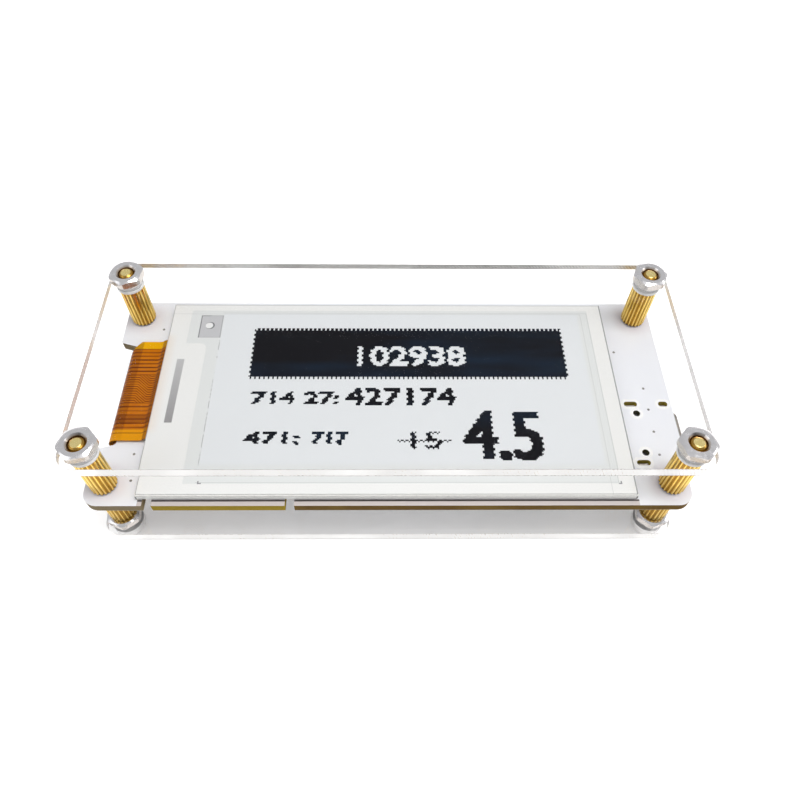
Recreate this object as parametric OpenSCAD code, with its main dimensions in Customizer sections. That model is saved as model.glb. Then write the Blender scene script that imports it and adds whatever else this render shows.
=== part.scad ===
// Electronic shelf label: an e-paper screen on a circuit board, held between two clear
// plates by knurled standoffs, nuts and screws.
// Origin: centre of the plates, on the surface that the screw heads stand on.
// +X points to the right of the screen, +Y to its rear edge and +Z up.

/* [Clear plates] */
// From the ends of the panel to the side edges of both plates
side_room = 6.7; // [6.5:0.1:9]
// From the long edges of the panel to the front and rear edges of both plates
edge_room = 0.9; // [0.7:0.1:3]
// Thickness of a clear plate
plate_t = 1.5; // [1:0.1:2.5]
// Radius of the plate corners
plate_corner_r = 2; // [1:0.1:2.2]

/* [Screw pattern] */
// From a plate's side edge to the screw axes
pattern_inset_x = 2.3; // [2.2:0.1:2.6]
// From a plate's front edge to the screw axes
pattern_inset_y = 2.7; // [2.4:0.1:3]
// Outer diameter of the screw thread
thread_d = 2; // [1.8:0.1:2.2]
// Radial clearance of a stud in the board
screw_clearance = 0.1; // [0.05:0.01:0.15]
// How far a standoff's barrel reaches past the wide holes in the clear plates, all round
plate_seat = 0.2; // [0.16:0.02:0.4]

/* [Standoffs] */
// Height of the standoffs between the board and the top plate
upper_standoff_h = 7; // [6:0.5:12]
// Height of the standoffs between the bottom nuts and the board
lower_standoff_h = 6; // [5:0.5:12]
// Diameter over the knurl's ridges
standoff_d = 3.2; // [3:0.1:3.8]
// Depth of the grooves between the ridges
knurl_depth = 0.16; // [0.1:0.02:0.24]
// Number of ridges round a standoff
knurl_count = 20; // [14:1:26]
// Chamfer at the head of a standoff
standoff_head_chamfer = 0.08; // [0.05:0.01:0.1]
// Chamfer at the foot of a standoff
standoff_foot_chamfer = 0.3; // [0.1:0.05:0.35]
// Length of the threaded stud that carries the top nut
upper_stud_l = 2.45; // [2.2:0.05:2.7]
// Length of the threaded stud that joins the standoffs through the board
lower_stud_l = 3; // [2.5:0.1:3.5]
// Depth of the threaded socket in the foot of a standoff
socket_depth = 4; // [3.6:0.1:4.4]
// Radial play between a stud and the socket that it screws into
thread_play = 0.03; // [0.01:0.01:0.06]

/* [Nuts and screws] */
// Width of a nut across its flats
nut_flats = 4; // [3.6:0.1:4.2]
// Height of a nut
nut_h = 1.2; // [1:0.1:1.6]
// Diameter over a nut's turned corners
nut_corner_d = 4.4; // [4.3:0.05:4.6]
// Diameter of a nut's flat face, inside the chamfer
nut_face_d = 3.6; // [3.4:0.05:3.8]
// Width of the bevel at both ends of a nut's thread
nut_bevel = 0.24; // [0.1:0.02:0.3]
// Diameter of a screw head
screw_head_d = 4; // [3.4:0.1:4.4]
// Height of a screw head
screw_head_h = 1.6; // [1.2:0.1:2]
// Length of a screw below its head
screw_l = 5; // [4.4:0.1:5.6]
// Span of the cross in a screw head
cross_span = 2.2; // [1.6:0.1:2.4]
// Width of one arm of the cross
cross_w = 0.5; // [0.4:0.05:0.6]
// Depth of the cross
cross_depth = 0.9; // [0.6:0.1:1.1]

/* [Circuit board] */
// Thickness of the board
board_t = 1.2; // [0.8:0.1:2]
// How far the board stands out past the plates at the front and at the rear
board_proud = 0.15; // [0:0.05:0.4]
// Radius of the board's corners
board_corner_r = 1.9; // [1:0.1:2.2]
// Depth of the notch in the left edge, round which the flex folds
notch_depth = 2.7; // [2.2:0.1:3]
// Length of the notch along its floor
notch_floor_w = 15.2; // [14.4:0.1:16]
// How much further each end of the notch opens at the board's edge
notch_flare = 0.8; // [0.4:0.1:1.2]
// Fillet at the corners of the notch
notch_fillet_r = 0.45; // [0.2:0.05:0.6]
// Width of the two slots in the front edge
edge_slot_w = 1.1; // [0.8:0.1:1.4]
// Depth of the two slots in the front edge
edge_slot_depth = 1.6; // [1.2:0.1:2.2]
// From the board's left edge to the first slot
edge_slot_a = 7.7; // [7:0.1:9]
// From the board's left edge to the second slot
edge_slot_b = 24.5; // [22:0.1:28]

/* [Screen] */
// Width of the e-paper panel
panel_w = 59.2; // [56:0.1:60]
// Depth of the e-paper panel, front to rear
panel_d = 29.2; // [28.6:0.1:30]
// How far the panel's centre lies to the left of the board's centre
panel_left = 0.2; // [0:0.05:0.5]
// How far the panel's centre lies in front of the board's centre
panel_front = 0.3; // [0:0.05:0.5]
// Thickness of the tape between panel and board
tape_t = 0.25; // [0.15:0.05:0.5]
// How far the tape keeps back from the panel's edges
tape_inset = 0.2; // [0.1:0.05:1]
// Thickness of the glass that carries the pixels
glass_t = 0.5; // [0.4:0.05:0.7]
// Thickness of the ink film
ink_t = 0.3; // [0.26:0.02:0.4]
// Thickness of the cover film
cover_t = 0.25; // [0.15:0.05:0.4]
// How far the cover film keeps back from the glass edges
cover_inset = 0.15; // [0:0.05:0.3]
// Width of the bare glass ledge at the left of the ink film
ledge_w = 5.3; // [4.8:0.1:5.8]
// Width of the ledge beside the ink film's contact tab
tab_ledge_w = 2.3; // [2:0.1:2.8]
// Length of the ink film's contact tab, from its rear edge
tab_l = 6.2; // [5.4:0.1:7]
// From the ink film to the edges of the glass at the front, rear and right
ink_margin = 1.1; // [0.9:0.05:1.4]
// Width of the seal round the ink film
seal_w = 0.7; // [0.4:0.05:0.8]
// Width of the driver chip on the ledge
driver_w = 0.95; // [0.8:0.05:1.1]
// Length of the driver chip
driver_l = 9.9; // [9:0.1:11]
// From the seal round the contact tab to the driver chip
driver_from_tab = 1.65; // [0.6:0.05:3]
// Thickness of the driver chip
driver_t = 0.22; // [0.15:0.01:0.24]
// From the left edge of the glass to the driver chip
driver_inset = 1.95; // [1.8:0.05:2.2]
// Size of the square contact under the ink film's tab, across
contact_w = 3; // [2.6:0.1:3.2]
// Size of the square contact, front to rear
contact_d = 3.9; // [3.4:0.1:4]
// Diameter of the silver dot in the contact
contact_dot_d = 1; // [0.8:0.05:1.2]

/* [Flex] */
// Thickness of the flex
flex_t = 0.12; // [0.08:0.01:0.16]
// Width of the flex where it leaves the panel
flex_w = 15.5; // [14.5:0.1:15.8]
// How far the flex's front edge lies in front of its tail's
flex_front = 0.75; // [0.2:0.05:0.9]
// Radius of the fold round the board's edge, on the middle of the flex
fold_r = 1.05; // [0.95:0.05:1.15]
// Width of the flex's tail at its connector
tail_w = 12.5; // [12.2:0.1:12.8]
// How far the flex is bonded onto the glass
flex_bond_l = 1.4; // [1.2:0.1:1.6]
// Gap between the flex and the panel's edge
flex_gap = 0.05; // [0.03:0.01:0.1]
// Radius of the soft bends where the flex changes level
flex_bend_r = 0.6; // [0.5:0.05:0.7]
// From the notch floor to the mouth of the flex connector
tail_run = 4.6; // [4.2:0.1:5.4]
// How far the tail goes into the connector
tail_in = 3.1; // [2.6:0.1:3.2]
// Thickness of the stiffener on the tail
stiffener_t = 0.18; // [0.1:0.02:0.2]

/* [Flex connector] */
// Number of contacts
pin_count = 24; // [20:1:24]
// Distance from contact to contact
pin_pitch = 0.5; // [0.48:0.01:0.5]
// Width of a contact
pin_w = 0.2; // [0.14:0.02:0.24]
// Thickness of a contact
pin_t = 0.12; // [0.08:0.01:0.14]
// From the outermost contacts to the ends of the housing
connector_end = 2.5; // [2.3:0.1:3]
// Length of the housing, mouth to rear
connector_l = 5; // [4.8:0.1:5.6]
// Height of the housing
connector_h = 2; // [1.95:0.05:2.3]
// Thickness of the housing's floor
connector_floor = 0.4; // [0.36:0.02:0.44]
// Thickness of the housing's end cheeks
cheek_w = 1.2; // [1:0.1:1.4]
// Distance of the latch pivot from the mouth
pivot_in = 2.55; // [2.3:0.05:2.7]
// Height of the latch pivot over the board
pivot_h = 1.28; // [1.25:0.01:1.32]
// Radius of the latch's pivot pins
pivot_r = 0.3; // [0.2:0.02:0.32]
// Radial clearance of the pivot pins
pivot_clearance = 0.05; // [0.03:0.01:0.07]
// Clearance between the latch and the housing
latch_gap = 0.1; // [0.06:0.01:0.14]

/* [USB socket] */
// Width of the metal shell
usb_w = 8.94; // [8.7:0.02:9.2]
// Height of the metal shell
usb_h = 3.16; // [3:0.02:3.4]
// Length of the metal shell
usb_l = 6.7; // [6.5:0.05:7.2]
// Wall of the metal shell
usb_wall = 0.3; // [0.2:0.02:0.34]
// How far the mouth stands out past the board's right edge
usb_overhang = 0.9; // [0.4:0.1:0.95]
// From the front screw axes to the socket's axis
usb_from_screw = 6.9; // [6.6:0.1:8]
// From the mouth to the rear pair of shell legs
usb_rear_leg = 6.15; // [6.05:0.01:6.2]
// From the rear pair to the front pair of shell legs
usb_leg_step = 4.18; // [4:0.02:4.3]
// From the rear pair of legs to the plastic pegs
usb_peg_step = 0.53; // [0.5:0.01:0.6]
// Distance of a shell leg from the socket's axis
usb_leg_side = 4.32; // [4.28:0.01:4.34]
// Distance of a peg from the socket's axis
usb_peg_side = 2.89; // [2.7:0.01:3.2]
// Diameter of the peg holes in the board
usb_peg_hole_d = 0.9; // [0.8:0.02:1]
// Width of the leg slots in the board
leg_slot_w = 0.75; // [0.6:0.05:0.8]
// Length of the rear pair of leg slots
leg_slot_long = 1.7; // [1.5:0.05:1.8]
// Length of the front pair of leg slots
leg_slot_short = 1.2; // [1:0.05:1.3]
// Clearance of a leg or peg in its slot or hole
leg_clearance = 0.1; // [0.05:0.01:0.12]
// How far the shell's legs reach up into the board
leg_up = 0.7; // [0.5:0.05:1]
// Width of the socket's tongue
tongue_w = 6.69; // [6.4:0.01:6.8]
// Thickness of the socket's tongue
tongue_t = 0.7; // [0.6:0.02:0.8]
// How far the tongue's tip lies inside the mouth
tongue_in = 0.7; // [0.4:0.05:1]
// Length of the plastic block behind the tongue
usb_block_l = 1.9; // [1.6:0.05:2.2]

/* [Battery socket] */
// Width of the battery socket
battery_w = 5.6; // [5.2:0.1:6]
// Length of the battery socket
battery_l = 4.6; // [4.2:0.1:5.2]
// Height of the battery socket
battery_h = 3.2; // [3:0.05:3.4]
// Wall of the battery socket
battery_wall = 0.55; // [0.4:0.05:0.6]
// Distance between the two battery pins
battery_pitch = 1.25; // [1.1:0.05:1.4]
// Thickness of a square battery pin
battery_pin = 0.4; // [0.3:0.05:0.5]
// From the board's right edge to the battery socket's axis
battery_from_right = 10; // [9:0.1:12]
// From the board's rear edge to the battery socket's mouth
battery_from_rear = 0.7; // [0.4:0.1:1.2]

/* [Push switches] */
// Length of a switch
switch_w = 3.9; // [3.6:0.1:4.2]
// Width of a switch
switch_d = 3; // [2.8:0.1:3.2]
// Height of the plastic base
switch_base_h = 1.5; // [1.4:0.05:1.8]
// Thickness of the metal cover
switch_cover_t = 0.15; // [0.1:0.01:0.2]
// Diameter of the button
button_d = 1.5; // [1.2:0.05:1.7]
// How far the button stands out of the cover
button_proud = 0.5; // [0.45:0.05:0.8]
// Travel of the button
button_travel = 0.25; // [0.15:0.01:0.3]
// Radial clearance of the button in the cover
button_clearance = 0.06; // [0.04:0.01:0.09]
// From the board's front edge to the switches' axes
switch_from_front = 3.2; // [3:0.1:4]
// From the board's right edge to the reset switch
reset_from_right = 14; // [12:0.1:15]
// From the reset switch to the user switch
switch_step = 8; // [6:0.1:9]

/* [Radio module] */
// Width of the radio module
radio_w = 13.2; // [12:0.1:14]
// Length of the radio module
radio_l = 16.6; // [15.6:0.1:17]
// Thickness of the module's own board
radio_board_t = 0.8; // [0.6:0.1:1]
// Height of the shield over the module's board
shield_h = 1.6; // [1.4:0.1:2]
// Wall of the shield
shield_wall = 0.15; // [0.1:0.01:0.25]
// How far the shield keeps back from the module's edges
shield_inset = 0.9; // [0.7:0.05:1.1]
// Length of the module's bare end, which carries the antenna
antenna_l = 4; // [3.6:0.1:4.4]
// Number of half holes along each side of the module
castellation_count = 9; // [7:1:10]
// Distance from half hole to half hole
castellation_pitch = 1.1; // [1:0.05:1.2]
// Width of the antenna's copper line
antenna_line = 0.4; // [0.3:0.05:0.5]
// From the board's rear edge to the module's antenna end
radio_from_rear = 0.6; // [0.3:0.1:1.2]

/* [Small parts] */
// Length of a small capacitor or resistor
chip_part_l = 1.6; // [1.4:0.05:1.7]
// Width of a small capacitor or resistor
chip_part_w = 0.8; // [0.7:0.05:0.9]
// Height of a small capacitor
capacitor_h = 0.8; // [0.6:0.05:0.9]
// From the flex connector to the middle of the row of capacitors behind it
capacitor_row_gap = 3.1; // [2.4:0.1:3.6]
// Height of a small resistor
resistor_h = 0.45; // [0.35:0.05:0.6]
// Length of the tinned cap at each end of a small part
chip_end_l = 0.32; // [0.25:0.01:0.38]
// Width and length of the boost inductor
inductor_w = 4; // [3.6:0.1:4.3]
// Height of the boost inductor
inductor_h = 1.8; // [1.4:0.1:2]
// Width and length of the serial bridge chip
bridge_w = 5; // [4:0.1:5.4]
// Height of the serial bridge chip
bridge_h = 0.85; // [0.7:0.05:1]
// Number of pads along each side of the bridge chip
bridge_pads = 7; // [5:1:8]
// Length of the body of a small power chip
power_chip_l = 2.9; // [2.7:0.05:3.1]
// Width of the body of a small power chip
power_chip_w = 1.6; // [1.4:0.05:1.8]
// Height of the body of a small power chip
power_chip_h = 1; // [0.8:0.05:1.2]
// Thickness of a chip's leg
lead_t = 0.15; // [0.1:0.01:0.2]
// Width of a chip's leg
lead_w = 0.4; // [0.3:0.02:0.5]
// How far a chip's leg reaches out
lead_reach = 0.6; // [0.45:0.05:0.7]
// Length of a diode's body
diode_l = 2.7; // [2.4:0.05:2.9]
// Width of a diode's body
diode_w = 1.6; // [1.4:0.05:1.7]
// Height of a diode's body
diode_h = 1.05; // [0.9:0.05:1.2]
// Length of the crystal's can
crystal_l = 3.2; // [2.8:0.1:3.4]
// Width of the crystal's can
crystal_w = 2.5; // [2.2:0.1:2.7]
// Height of the crystal's can
crystal_h = 0.75; // [0.6:0.05:0.9]
// Length of a status light
led_l = 1.6; // [1.4:0.05:1.7]
// Width of a status light
led_w = 0.8; // [0.7:0.05:0.9]
// Height of a status light
led_h = 0.6; // [0.5:0.05:0.8]

/* [Hidden] */
$fn = 48;

// How far every cutting shape runs past the solid that it cuts
over = 0.2 * plate_t;

plate_w = panel_w + 2 * side_room;
plate_d = panel_d + 2 * edge_room;
board_w = plate_w;
board_d = plate_d + 2 * board_proud;
pattern_x = plate_w - 2 * pattern_inset_x;
pattern_y = plate_d - 2 * pattern_inset_y;
screw_hole_d = thread_d + 2 * screw_clearance;
plate_hole_d = standoff_d - 2 * plate_seat;

// Levels, from the ground up
bottom_plate_z = screw_head_h;
bottom_nut_z = bottom_plate_z + plate_t;
lower_standoff_z = bottom_nut_z + nut_h;
board_z = lower_standoff_z + lower_standoff_h;
board_top = board_z + board_t;
top_plate_z = board_top + upper_standoff_h;
top_nut_z = top_plate_z + plate_t;
glass_z = board_top + tape_t;
glass_top = glass_z + glass_t;
cover_z = glass_top + ink_t;

// Edges of the panel
panel_x0 = -panel_left - panel_w / 2;
panel_x1 = panel_x0 + panel_w;
panel_y0 = -panel_front - panel_d / 2;
panel_y1 = panel_y0 + panel_d;
ink_x0 = panel_x0 + ledge_w;
ink_y1 = panel_y1 - ink_margin;
mask_t = ink_t - driver_t;
driver_y1 = ink_y1 - tab_l - seal_w - driver_from_tab;

// Flex and its connector
notch_floor_x = -board_w / 2 + notch_depth;
fold_out_x = notch_floor_x - fold_r - flex_t / 2;
tail_y0 = -panel_front - tail_w / 2;
tail_y1 = tail_y0 + tail_w;
flex_y0 = tail_y0 - flex_front;
flex_y1 = flex_y0 + flex_w;
connector_x = notch_floor_x + tail_run;
connector_w = (pin_count - 1) * pin_pitch + 2 * connector_end;
slot_h = connector_floor + pin_t / 3 + flex_t / 2;
slot_z = board_z - slot_h;
fold_z = slot_z + fold_r;
tail_end_x = connector_x + tail_in;
pivot_x = connector_x + pivot_in;
latch_r = pivot_h - slot_h - flex_t / 2 - stiffener_t - latch_gap / 2;
latch_w = connector_w - 2 * cheek_w - 2 * latch_gap;

// USB socket
usb_front = pattern_y / 2 - usb_from_screw;
usb_mouth_x = board_w / 2 + usb_overhang;
usb_legs_x = usb_mouth_x - usb_rear_leg;
usb_leg_xs = [usb_legs_x, usb_legs_x + usb_leg_step];
usb_slot_ls = [leg_slot_long, leg_slot_short];

// Other parts under the board
battery_x = board_w / 2 - battery_from_right;
battery_mouth_y = board_d / 2 - battery_from_rear;
switch_y = -board_d / 2 + switch_from_front;
reset_x = board_w / 2 - reset_from_right;
user_x = reset_x - switch_step;
radio_place_share = -0.165;
radio_x = radio_place_share * board_w / 2;
radio_y1 = board_d / 2 - radio_from_rear;
shield_l = radio_l - antenna_l - shield_inset;

// Places under the board, as shares of its half width and half depth, and a turn in degrees
capacitor_row_share = (connector_x + connector_l + capacitor_row_gap) / (board_w / 2);
capacitor_place_shares = [
    for (row = [0:9]) [capacitor_row_share, -0.46 + 0.1 * row, 0],
    [-0.71, 0.76, 90], [-0.42, 0.64, 90],
    [0.29, 0.78, 90], [0.47, 0.42, 0], [0.29, 0.24, 0], [0.62, -0.08, 90], [0.44, 0.06, 0],
    [-0.42, -0.78, 90], [-0.17, -0.42, 90], [0.02, -0.42, 90], [0.67, 0.28, 90]
];
resistor_place_shares = [
    [-0.56, -0.72, 0], [-0.56, -0.84, 0], [-0.34, -0.62, 0], [-0.34, -0.74, 0], [0.12, -0.5, 90],
    [0.2, -0.5, 90], [0.28, -0.5, 90], [0.74, 0.1, 0], [0.74, 0.21, 0], [0.16, -0.8, 90],
    [-0.08, -0.64, 0], [0.56, 0.28, 90]
];
power_chip_place_shares = [[0.37, 0.6, 0], [0.52, 0.66, 90], [0.7, -0.38, 90], [-0.62, 0.72, 0]];
diode_place_shares = [[0.1, 0.2, 90], [-0.42, 0.2, 90], [-0.42, -0.08, 90], [-0.75, -0.72, 0]];
led_place_shares = [[0.86, 0.3, 90], [0.86, 0.44, 90]];
bridge_place_share = [0.52, -0.36];
inductor_place_share = [-0.5, 0.68];
crystal_place_share = [-0.22, -0.74];
// A power chip's legs, as shares of a third of its length, and the side that each is on
power_lead_shares = [[-1, 1], [0, 1], [1, 1], [-1, -1], [1, -1]];
// Contacts on the USB socket's tongue, as shares of the contact pitch
usb_contact_shares = [-5.5, -2.5, -1.5, -0.5, 0.5, 1.5, 2.5, 5.5];
usb_tail_count = 12;

acrylic = [0.86, 0.92, 0.95, 0.3];
brass = [0.83, 0.65, 0.27];
nickel = [0.78, 0.77, 0.76];
tin = [0.75, 0.76, 0.78];
gold = [0.9, 0.74, 0.35];
black_plastic = [0.09, 0.09, 0.1];
white_plastic = [0.92, 0.91, 0.88];
amber = [0.85, 0.5, 0.07];

// Points along an arc, from one angle to another
function arc(centre, r, from, to, steps) =
    [for (i = [0:steps]) let (a = from + (to - from) * i / steps) centre + r * [cos(a), sin(a)]];

function unit(v) = v / norm(v);

// One corner of an outline, rounded to a radius
function round_corner(before, corner, after, r, steps) =
    let (
        u = unit(before - corner),
        w = unit(after - corner),
        half = acos(u * w) / 2,
        centre = corner + unit(u + w) * r / sin(half),
        start = corner + u * r / tan(half) - centre,
        from = atan2(start[1], start[0]),
        turn = sign(u[1] * w[0] - u[0] * w[1]) * (180 - 2 * half)
    )
    arc(centre, r, from, from + turn, steps);

// An outline from its corners; each corner is [x, y, radius]
function rounded(corners, steps = 6) =
    let (n = len(corners))
    [
        for (i = [0:n - 1])
        let (
            c = corners[i],
            before = corners[(i + n - 1) % n],
            after = corners[(i + 1) % n],
            at = [c[0], c[1]]
        )
        each (c[2] == 0 ? [at] :
            round_corner([before[0], before[1]], at, [after[0], after[1]], c[2], steps))
    ];

// Direction of a path at one of its points, and that point moved to one side
function heading(path, i) = unit(path[min(i + 1, len(path) - 1)] - path[max(i - 1, 0)]);
function beside(path, i, d) = let (h = heading(path, i)) path[i] + d * [-h[1], h[0]];

// The outline of a strip of even thickness that follows a path
function strip(path, t) = concat(
    [for (i = [0:len(path) - 1]) beside(path, i, t / 2)],
    [for (i = [len(path) - 1:-1:0]) beside(path, i, -t / 2)]
);

// A soft step down in a path, to the left (side -1) or to the right (side 1)
function step_down(at, drop, side, r) =
    let (
        a = acos(1 - drop / (2 * r)),
        run = 2 * r * sin(a) * side
    )
    concat(
        arc(at - [0, r], r, 90, 90 - side * a, 6),
        arc(at + [run, r - drop], r, -90 - side * a, -90, 6)
    );

module rounded_rect(w, d, r) {
    square([w - 2 * r, d], center = true);
    square([w, d - 2 * r], center = true);
    for (x = [-1, 1], y = [-1, 1]) translate([x * (w / 2 - r), y * (d / 2 - r)]) circle(r);
}

module box(x0, x1, y0, y1, z0, z1) {
    translate([x0, y0, z0]) cube([x1 - x0, y1 - y0, z1 - z0]);
}

// Four copies, on the screw axes
module on_pattern(z) {
    for (x = [-1, 1], y = [-1, 1]) translate([x * pattern_x / 2, y * pattern_y / 2, z]) children();
}

// Draws under the board: heights are measured down from its lower face
module under_board(x = 0, y = 0, turn = 0) {
    translate([x, y, board_z]) mirror([0, 0, 1]) rotate(turn) children();
}

// Draws under the board at a place given in shares
module at_share(place) {
    under_board(place[0] * board_w / 2, place[1] * board_d / 2, len(place) > 2 ? place[2] : 0)
        children();
}

// A section drawn in the XZ plane, drawn out along Y
module along_y(y0, y1) {
    translate([0, y1, 0]) rotate([90, 0, 0]) linear_extrude(y1 - y0) children();
}

// Clear plates

module plate(z) {
    color(acrylic) translate([0, 0, z]) difference() {
        linear_extrude(plate_t) rounded_rect(plate_w, plate_d, plate_corner_r);
        on_pattern(-over) cylinder(h = plate_t + 2 * over, d = plate_hole_d);
    }
}

module top_plate() { plate(top_plate_z); }

module bottom_plate() { plate(bottom_plate_z); }

// Standoffs, nuts and screws

// Ridges and grooves in turn, as one outline
module knurl_outline() {
    crest = standoff_d / 2;
    polygon([
        for (i = [0:4 * knurl_count - 1])
        let (r = i % 4 < 2 ? crest : crest - knurl_depth, a = 90 * (i + 0.5) / knurl_count)
        r * [cos(a), sin(a)]
    ]);
}

module turned_barrel(h, r, foot, head) {
    rotate_extrude()
        polygon([[0, 0], [r - foot, 0], [r, foot], [r, h - head], [r - head, h], [0, h]]);
}

module standoff(h, stud_l) {
    tip = thread_d / 8;
    socket_r = thread_d / 2 + thread_play;
    difference() {
        union() {
            intersection() {
                linear_extrude(h) knurl_outline();
                turned_barrel(h, standoff_d / 2, standoff_foot_chamfer, standoff_head_chamfer);
            }
            translate([0, 0, h - tip]) rotate_extrude() polygon([
                [0, 0], [thread_d / 2, 0], [thread_d / 2, stud_l], [thread_d / 2 - tip, stud_l + tip],
                [0, stud_l + tip]
            ]);
        }
        translate([0, 0, -over]) cylinder(h = socket_depth + over, r = socket_r);
    }
}

module upper_standoffs() {
    color(brass) on_pattern(board_top) standoff(upper_standoff_h, upper_stud_l);
}

module lower_standoffs() {
    color(brass) on_pattern(lower_standoff_z) standoff(lower_standoff_h, lower_stud_l);
}

// A hexagon whose corners are turned down at both ends, as nuts are
module nut() {
    corner_r = nut_corner_d / 2;
    face_r = nut_face_d / 2;
    drop = (corner_r - face_r) * tan(30);
    bore_r = thread_d / 2 + thread_play;
    bevel = nut_bevel;
    difference() {
        intersection() {
            cylinder(h = nut_h, r = nut_flats / sqrt(3), $fn = 6);
            rotate_extrude() polygon([
                [0, 0], [face_r, 0], [corner_r, drop], [corner_r, nut_h - drop],
                [face_r, nut_h], [0, nut_h]
            ]);
        }
        rotate_extrude() polygon([
            [0, -over], [bore_r + bevel + over, -over], [bore_r, bevel], [bore_r, nut_h - bevel],
            [bore_r + bevel + over, nut_h + over], [0, nut_h + over]
        ]);
    }
}

// Nuts stop where they happen to be tight, so each is turned by another angle
module nuts(z, turns) {
    color(nickel) for (x = [0, 1], y = [0, 1])
        translate([(x - 0.5) * pattern_x, (y - 0.5) * pattern_y, z]) rotate(turns[2 * y + x]) nut();
}

module top_nuts() { nuts(top_nut_z, [12, 48, 24, 6]); }

module bottom_nuts() { nuts(bottom_nut_z, [38, 20, 5, 52]); }

module pan_head_screw() {
    head_r = screw_head_d / 2;
    edge = screw_head_h / 3;
    tip = thread_d / 8;
    difference() {
        union() {
            rotate_extrude() polygon(concat(
                [[0, 0]],
                [for (i = [0:6]) let (a = 90 - 15 * i)
                    [head_r - edge * (1 - cos(a)), edge * (1 - sin(a))]],
                [[head_r, screw_head_h], [0, screw_head_h]]
            ));
            rotate_extrude() polygon([
                [0, screw_head_h / 2], [thread_d / 2, screw_head_h / 2],
                [thread_d / 2, screw_head_h + screw_l - tip],
                [thread_d / 2 - tip, screw_head_h + screw_l], [0, screw_head_h + screw_l]
            ]);
        }
        for (turn = [45, 135]) rotate(turn) translate([-cross_span / 2, -cross_w / 2, -over])
            cube([cross_span, cross_w, cross_depth + over]);
    }
}

module bottom_screws() { color(nickel) on_pattern(0) pan_head_screw(); }

// Circuit board

module slot_outline(l, w) {
    square([l - w, w], center = true);
    for (x = [-1, 1]) translate([x * (l - w) / 2, 0]) circle(d = w);
}

module notch_outline() {
    edge_x = -board_w / 2;
    mouth = notch_floor_w / 2 + notch_flare;
    lead = 3 * notch_fillet_r;
    polygon(rounded([
        [edge_x - over, mouth + lead, 0], [edge_x, mouth + lead, 0], [edge_x, mouth, notch_fillet_r],
        [notch_floor_x, notch_floor_w / 2, notch_fillet_r],
        [notch_floor_x, -notch_floor_w / 2, notch_fillet_r],
        [edge_x, -mouth, notch_fillet_r], [edge_x, -mouth - lead, 0],
        [edge_x - over, -mouth - lead, 0]
    ]));
}

module circuit_board() {
    color(white_plastic) translate([0, 0, board_z]) difference() {
        linear_extrude(board_t) difference() {
            rounded_rect(board_w, board_d, board_corner_r);
            notch_outline();
            for (x = [edge_slot_a, edge_slot_b]) translate([x - board_w / 2, -board_d / 2])
                square([edge_slot_w, 2 * edge_slot_depth], center = true);
            for (row = [0, 1], side = [-1, 1])
                translate([usb_leg_xs[row], -usb_front + side * usb_leg_side])
                    slot_outline(usb_slot_ls[row], leg_slot_w);
        }
        on_pattern(-over) cylinder(h = board_t + 2 * over, d = screw_hole_d);
        for (side = [-1, 1])
            translate([usb_legs_x + usb_peg_step, -usb_front + side * usb_peg_side, -over])
                cylinder(h = board_t + 2 * over, d = usb_peg_hole_d, $fn = 24);
    }
}

// Screen

module mounting_tape() {
    color([0.2, 0.2, 0.22]) box(panel_x0 + tape_inset, panel_x1 - tape_inset,
        panel_y0 + tape_inset, panel_y1 - tape_inset, board_top, glass_z);
}

module display_glass() {
    color([0.7, 0.76, 0.78]) box(panel_x0, panel_x1, panel_y0, panel_y1, glass_z, glass_top);
}

// The ink film's outline, grown all round by a margin; its contact tab reaches left
module ink_outline(grow) {
    corner = ink_margin / 2;
    tab_x = panel_x0 + tab_ledge_w - grow;
    tab_y = ink_y1 - tab_l - grow;
    right = panel_x1 - ink_margin + grow;
    front = panel_y0 + ink_margin - grow;
    rear = ink_y1 + grow;
    polygon(rounded([
        [ink_x0 - grow, front, corner], [right, front, corner], [right, rear, corner],
        [tab_x, rear, 0], [tab_x, tab_y, 0], [ink_x0 - grow, tab_y, corner]
    ]));
}

module ink_film() {
    color([0.88, 0.9, 0.9]) translate([0, 0, glass_top]) difference() {
        linear_extrude(ink_t) ink_outline(0);
        contact_area(mask_t, 0);
    }
}

module edge_seal() {
    color([0.93, 0.94, 0.93]) translate([0, 0, glass_top]) linear_extrude(ink_t) difference() {
        ink_outline(seal_w);
        ink_outline(0);
    }
}

// Space of the square contact in the ink film's upper face, inside its rear left corner
module contact_area(depth, grow) {
    x0 = panel_x0 + tab_ledge_w + ledge_w / 3;
    y1 = ink_y1 - contact_dot_d;
    box(x0, x0 + contact_w, y1 - contact_d, y1, ink_t - depth, ink_t + over * (1 - grow));
}

module contact_pad() {
    x0 = panel_x0 + tab_ledge_w + ledge_w / 3;
    y1 = ink_y1 - contact_dot_d;
    color([0.66, 0.68, 0.7]) translate([0, 0, glass_top]) difference() {
        contact_area(mask_t, 1);
        translate([x0 + contact_w / 2, y1 - contact_d / 2, ink_t - mask_t - over])
            cylinder(h = mask_t + 2 * over, d = contact_dot_d);
    }
}

module driver_chip() {
    x0 = panel_x0 + driver_inset;
    color([0.5, 0.5, 0.52]) box(x0, x0 + driver_w, driver_y1 - driver_l, driver_y1,
        glass_top, glass_top + driver_t);
}

// White film over the ledge, with a window for the driver chip
module ledge_mask() {
    x0 = panel_x0 + driver_inset;
    color([0.96, 0.96, 0.95]) translate([0, 0, glass_top + driver_t]) linear_extrude(mask_t)
        difference() {
            translate([panel_x0 + cover_inset, panel_y0 + cover_inset])
                square([ledge_w - seal_w - cover_inset, panel_d - 2 * cover_inset]);
            translate([x0, driver_y1 - driver_l]) square([driver_w, driver_l]);
            ink_outline(seal_w);
        }
}

module cover_film() {
    color([0.9, 0.93, 0.93, 0.6]) box(panel_x0 + cover_inset, panel_x1 - cover_inset,
        panel_y0 + cover_inset, panel_y1 - cover_inset, cover_z, cover_z + cover_t);
}

// Flex: bonded on the ledge, in one wide fold round the notch and into the connector

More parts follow.
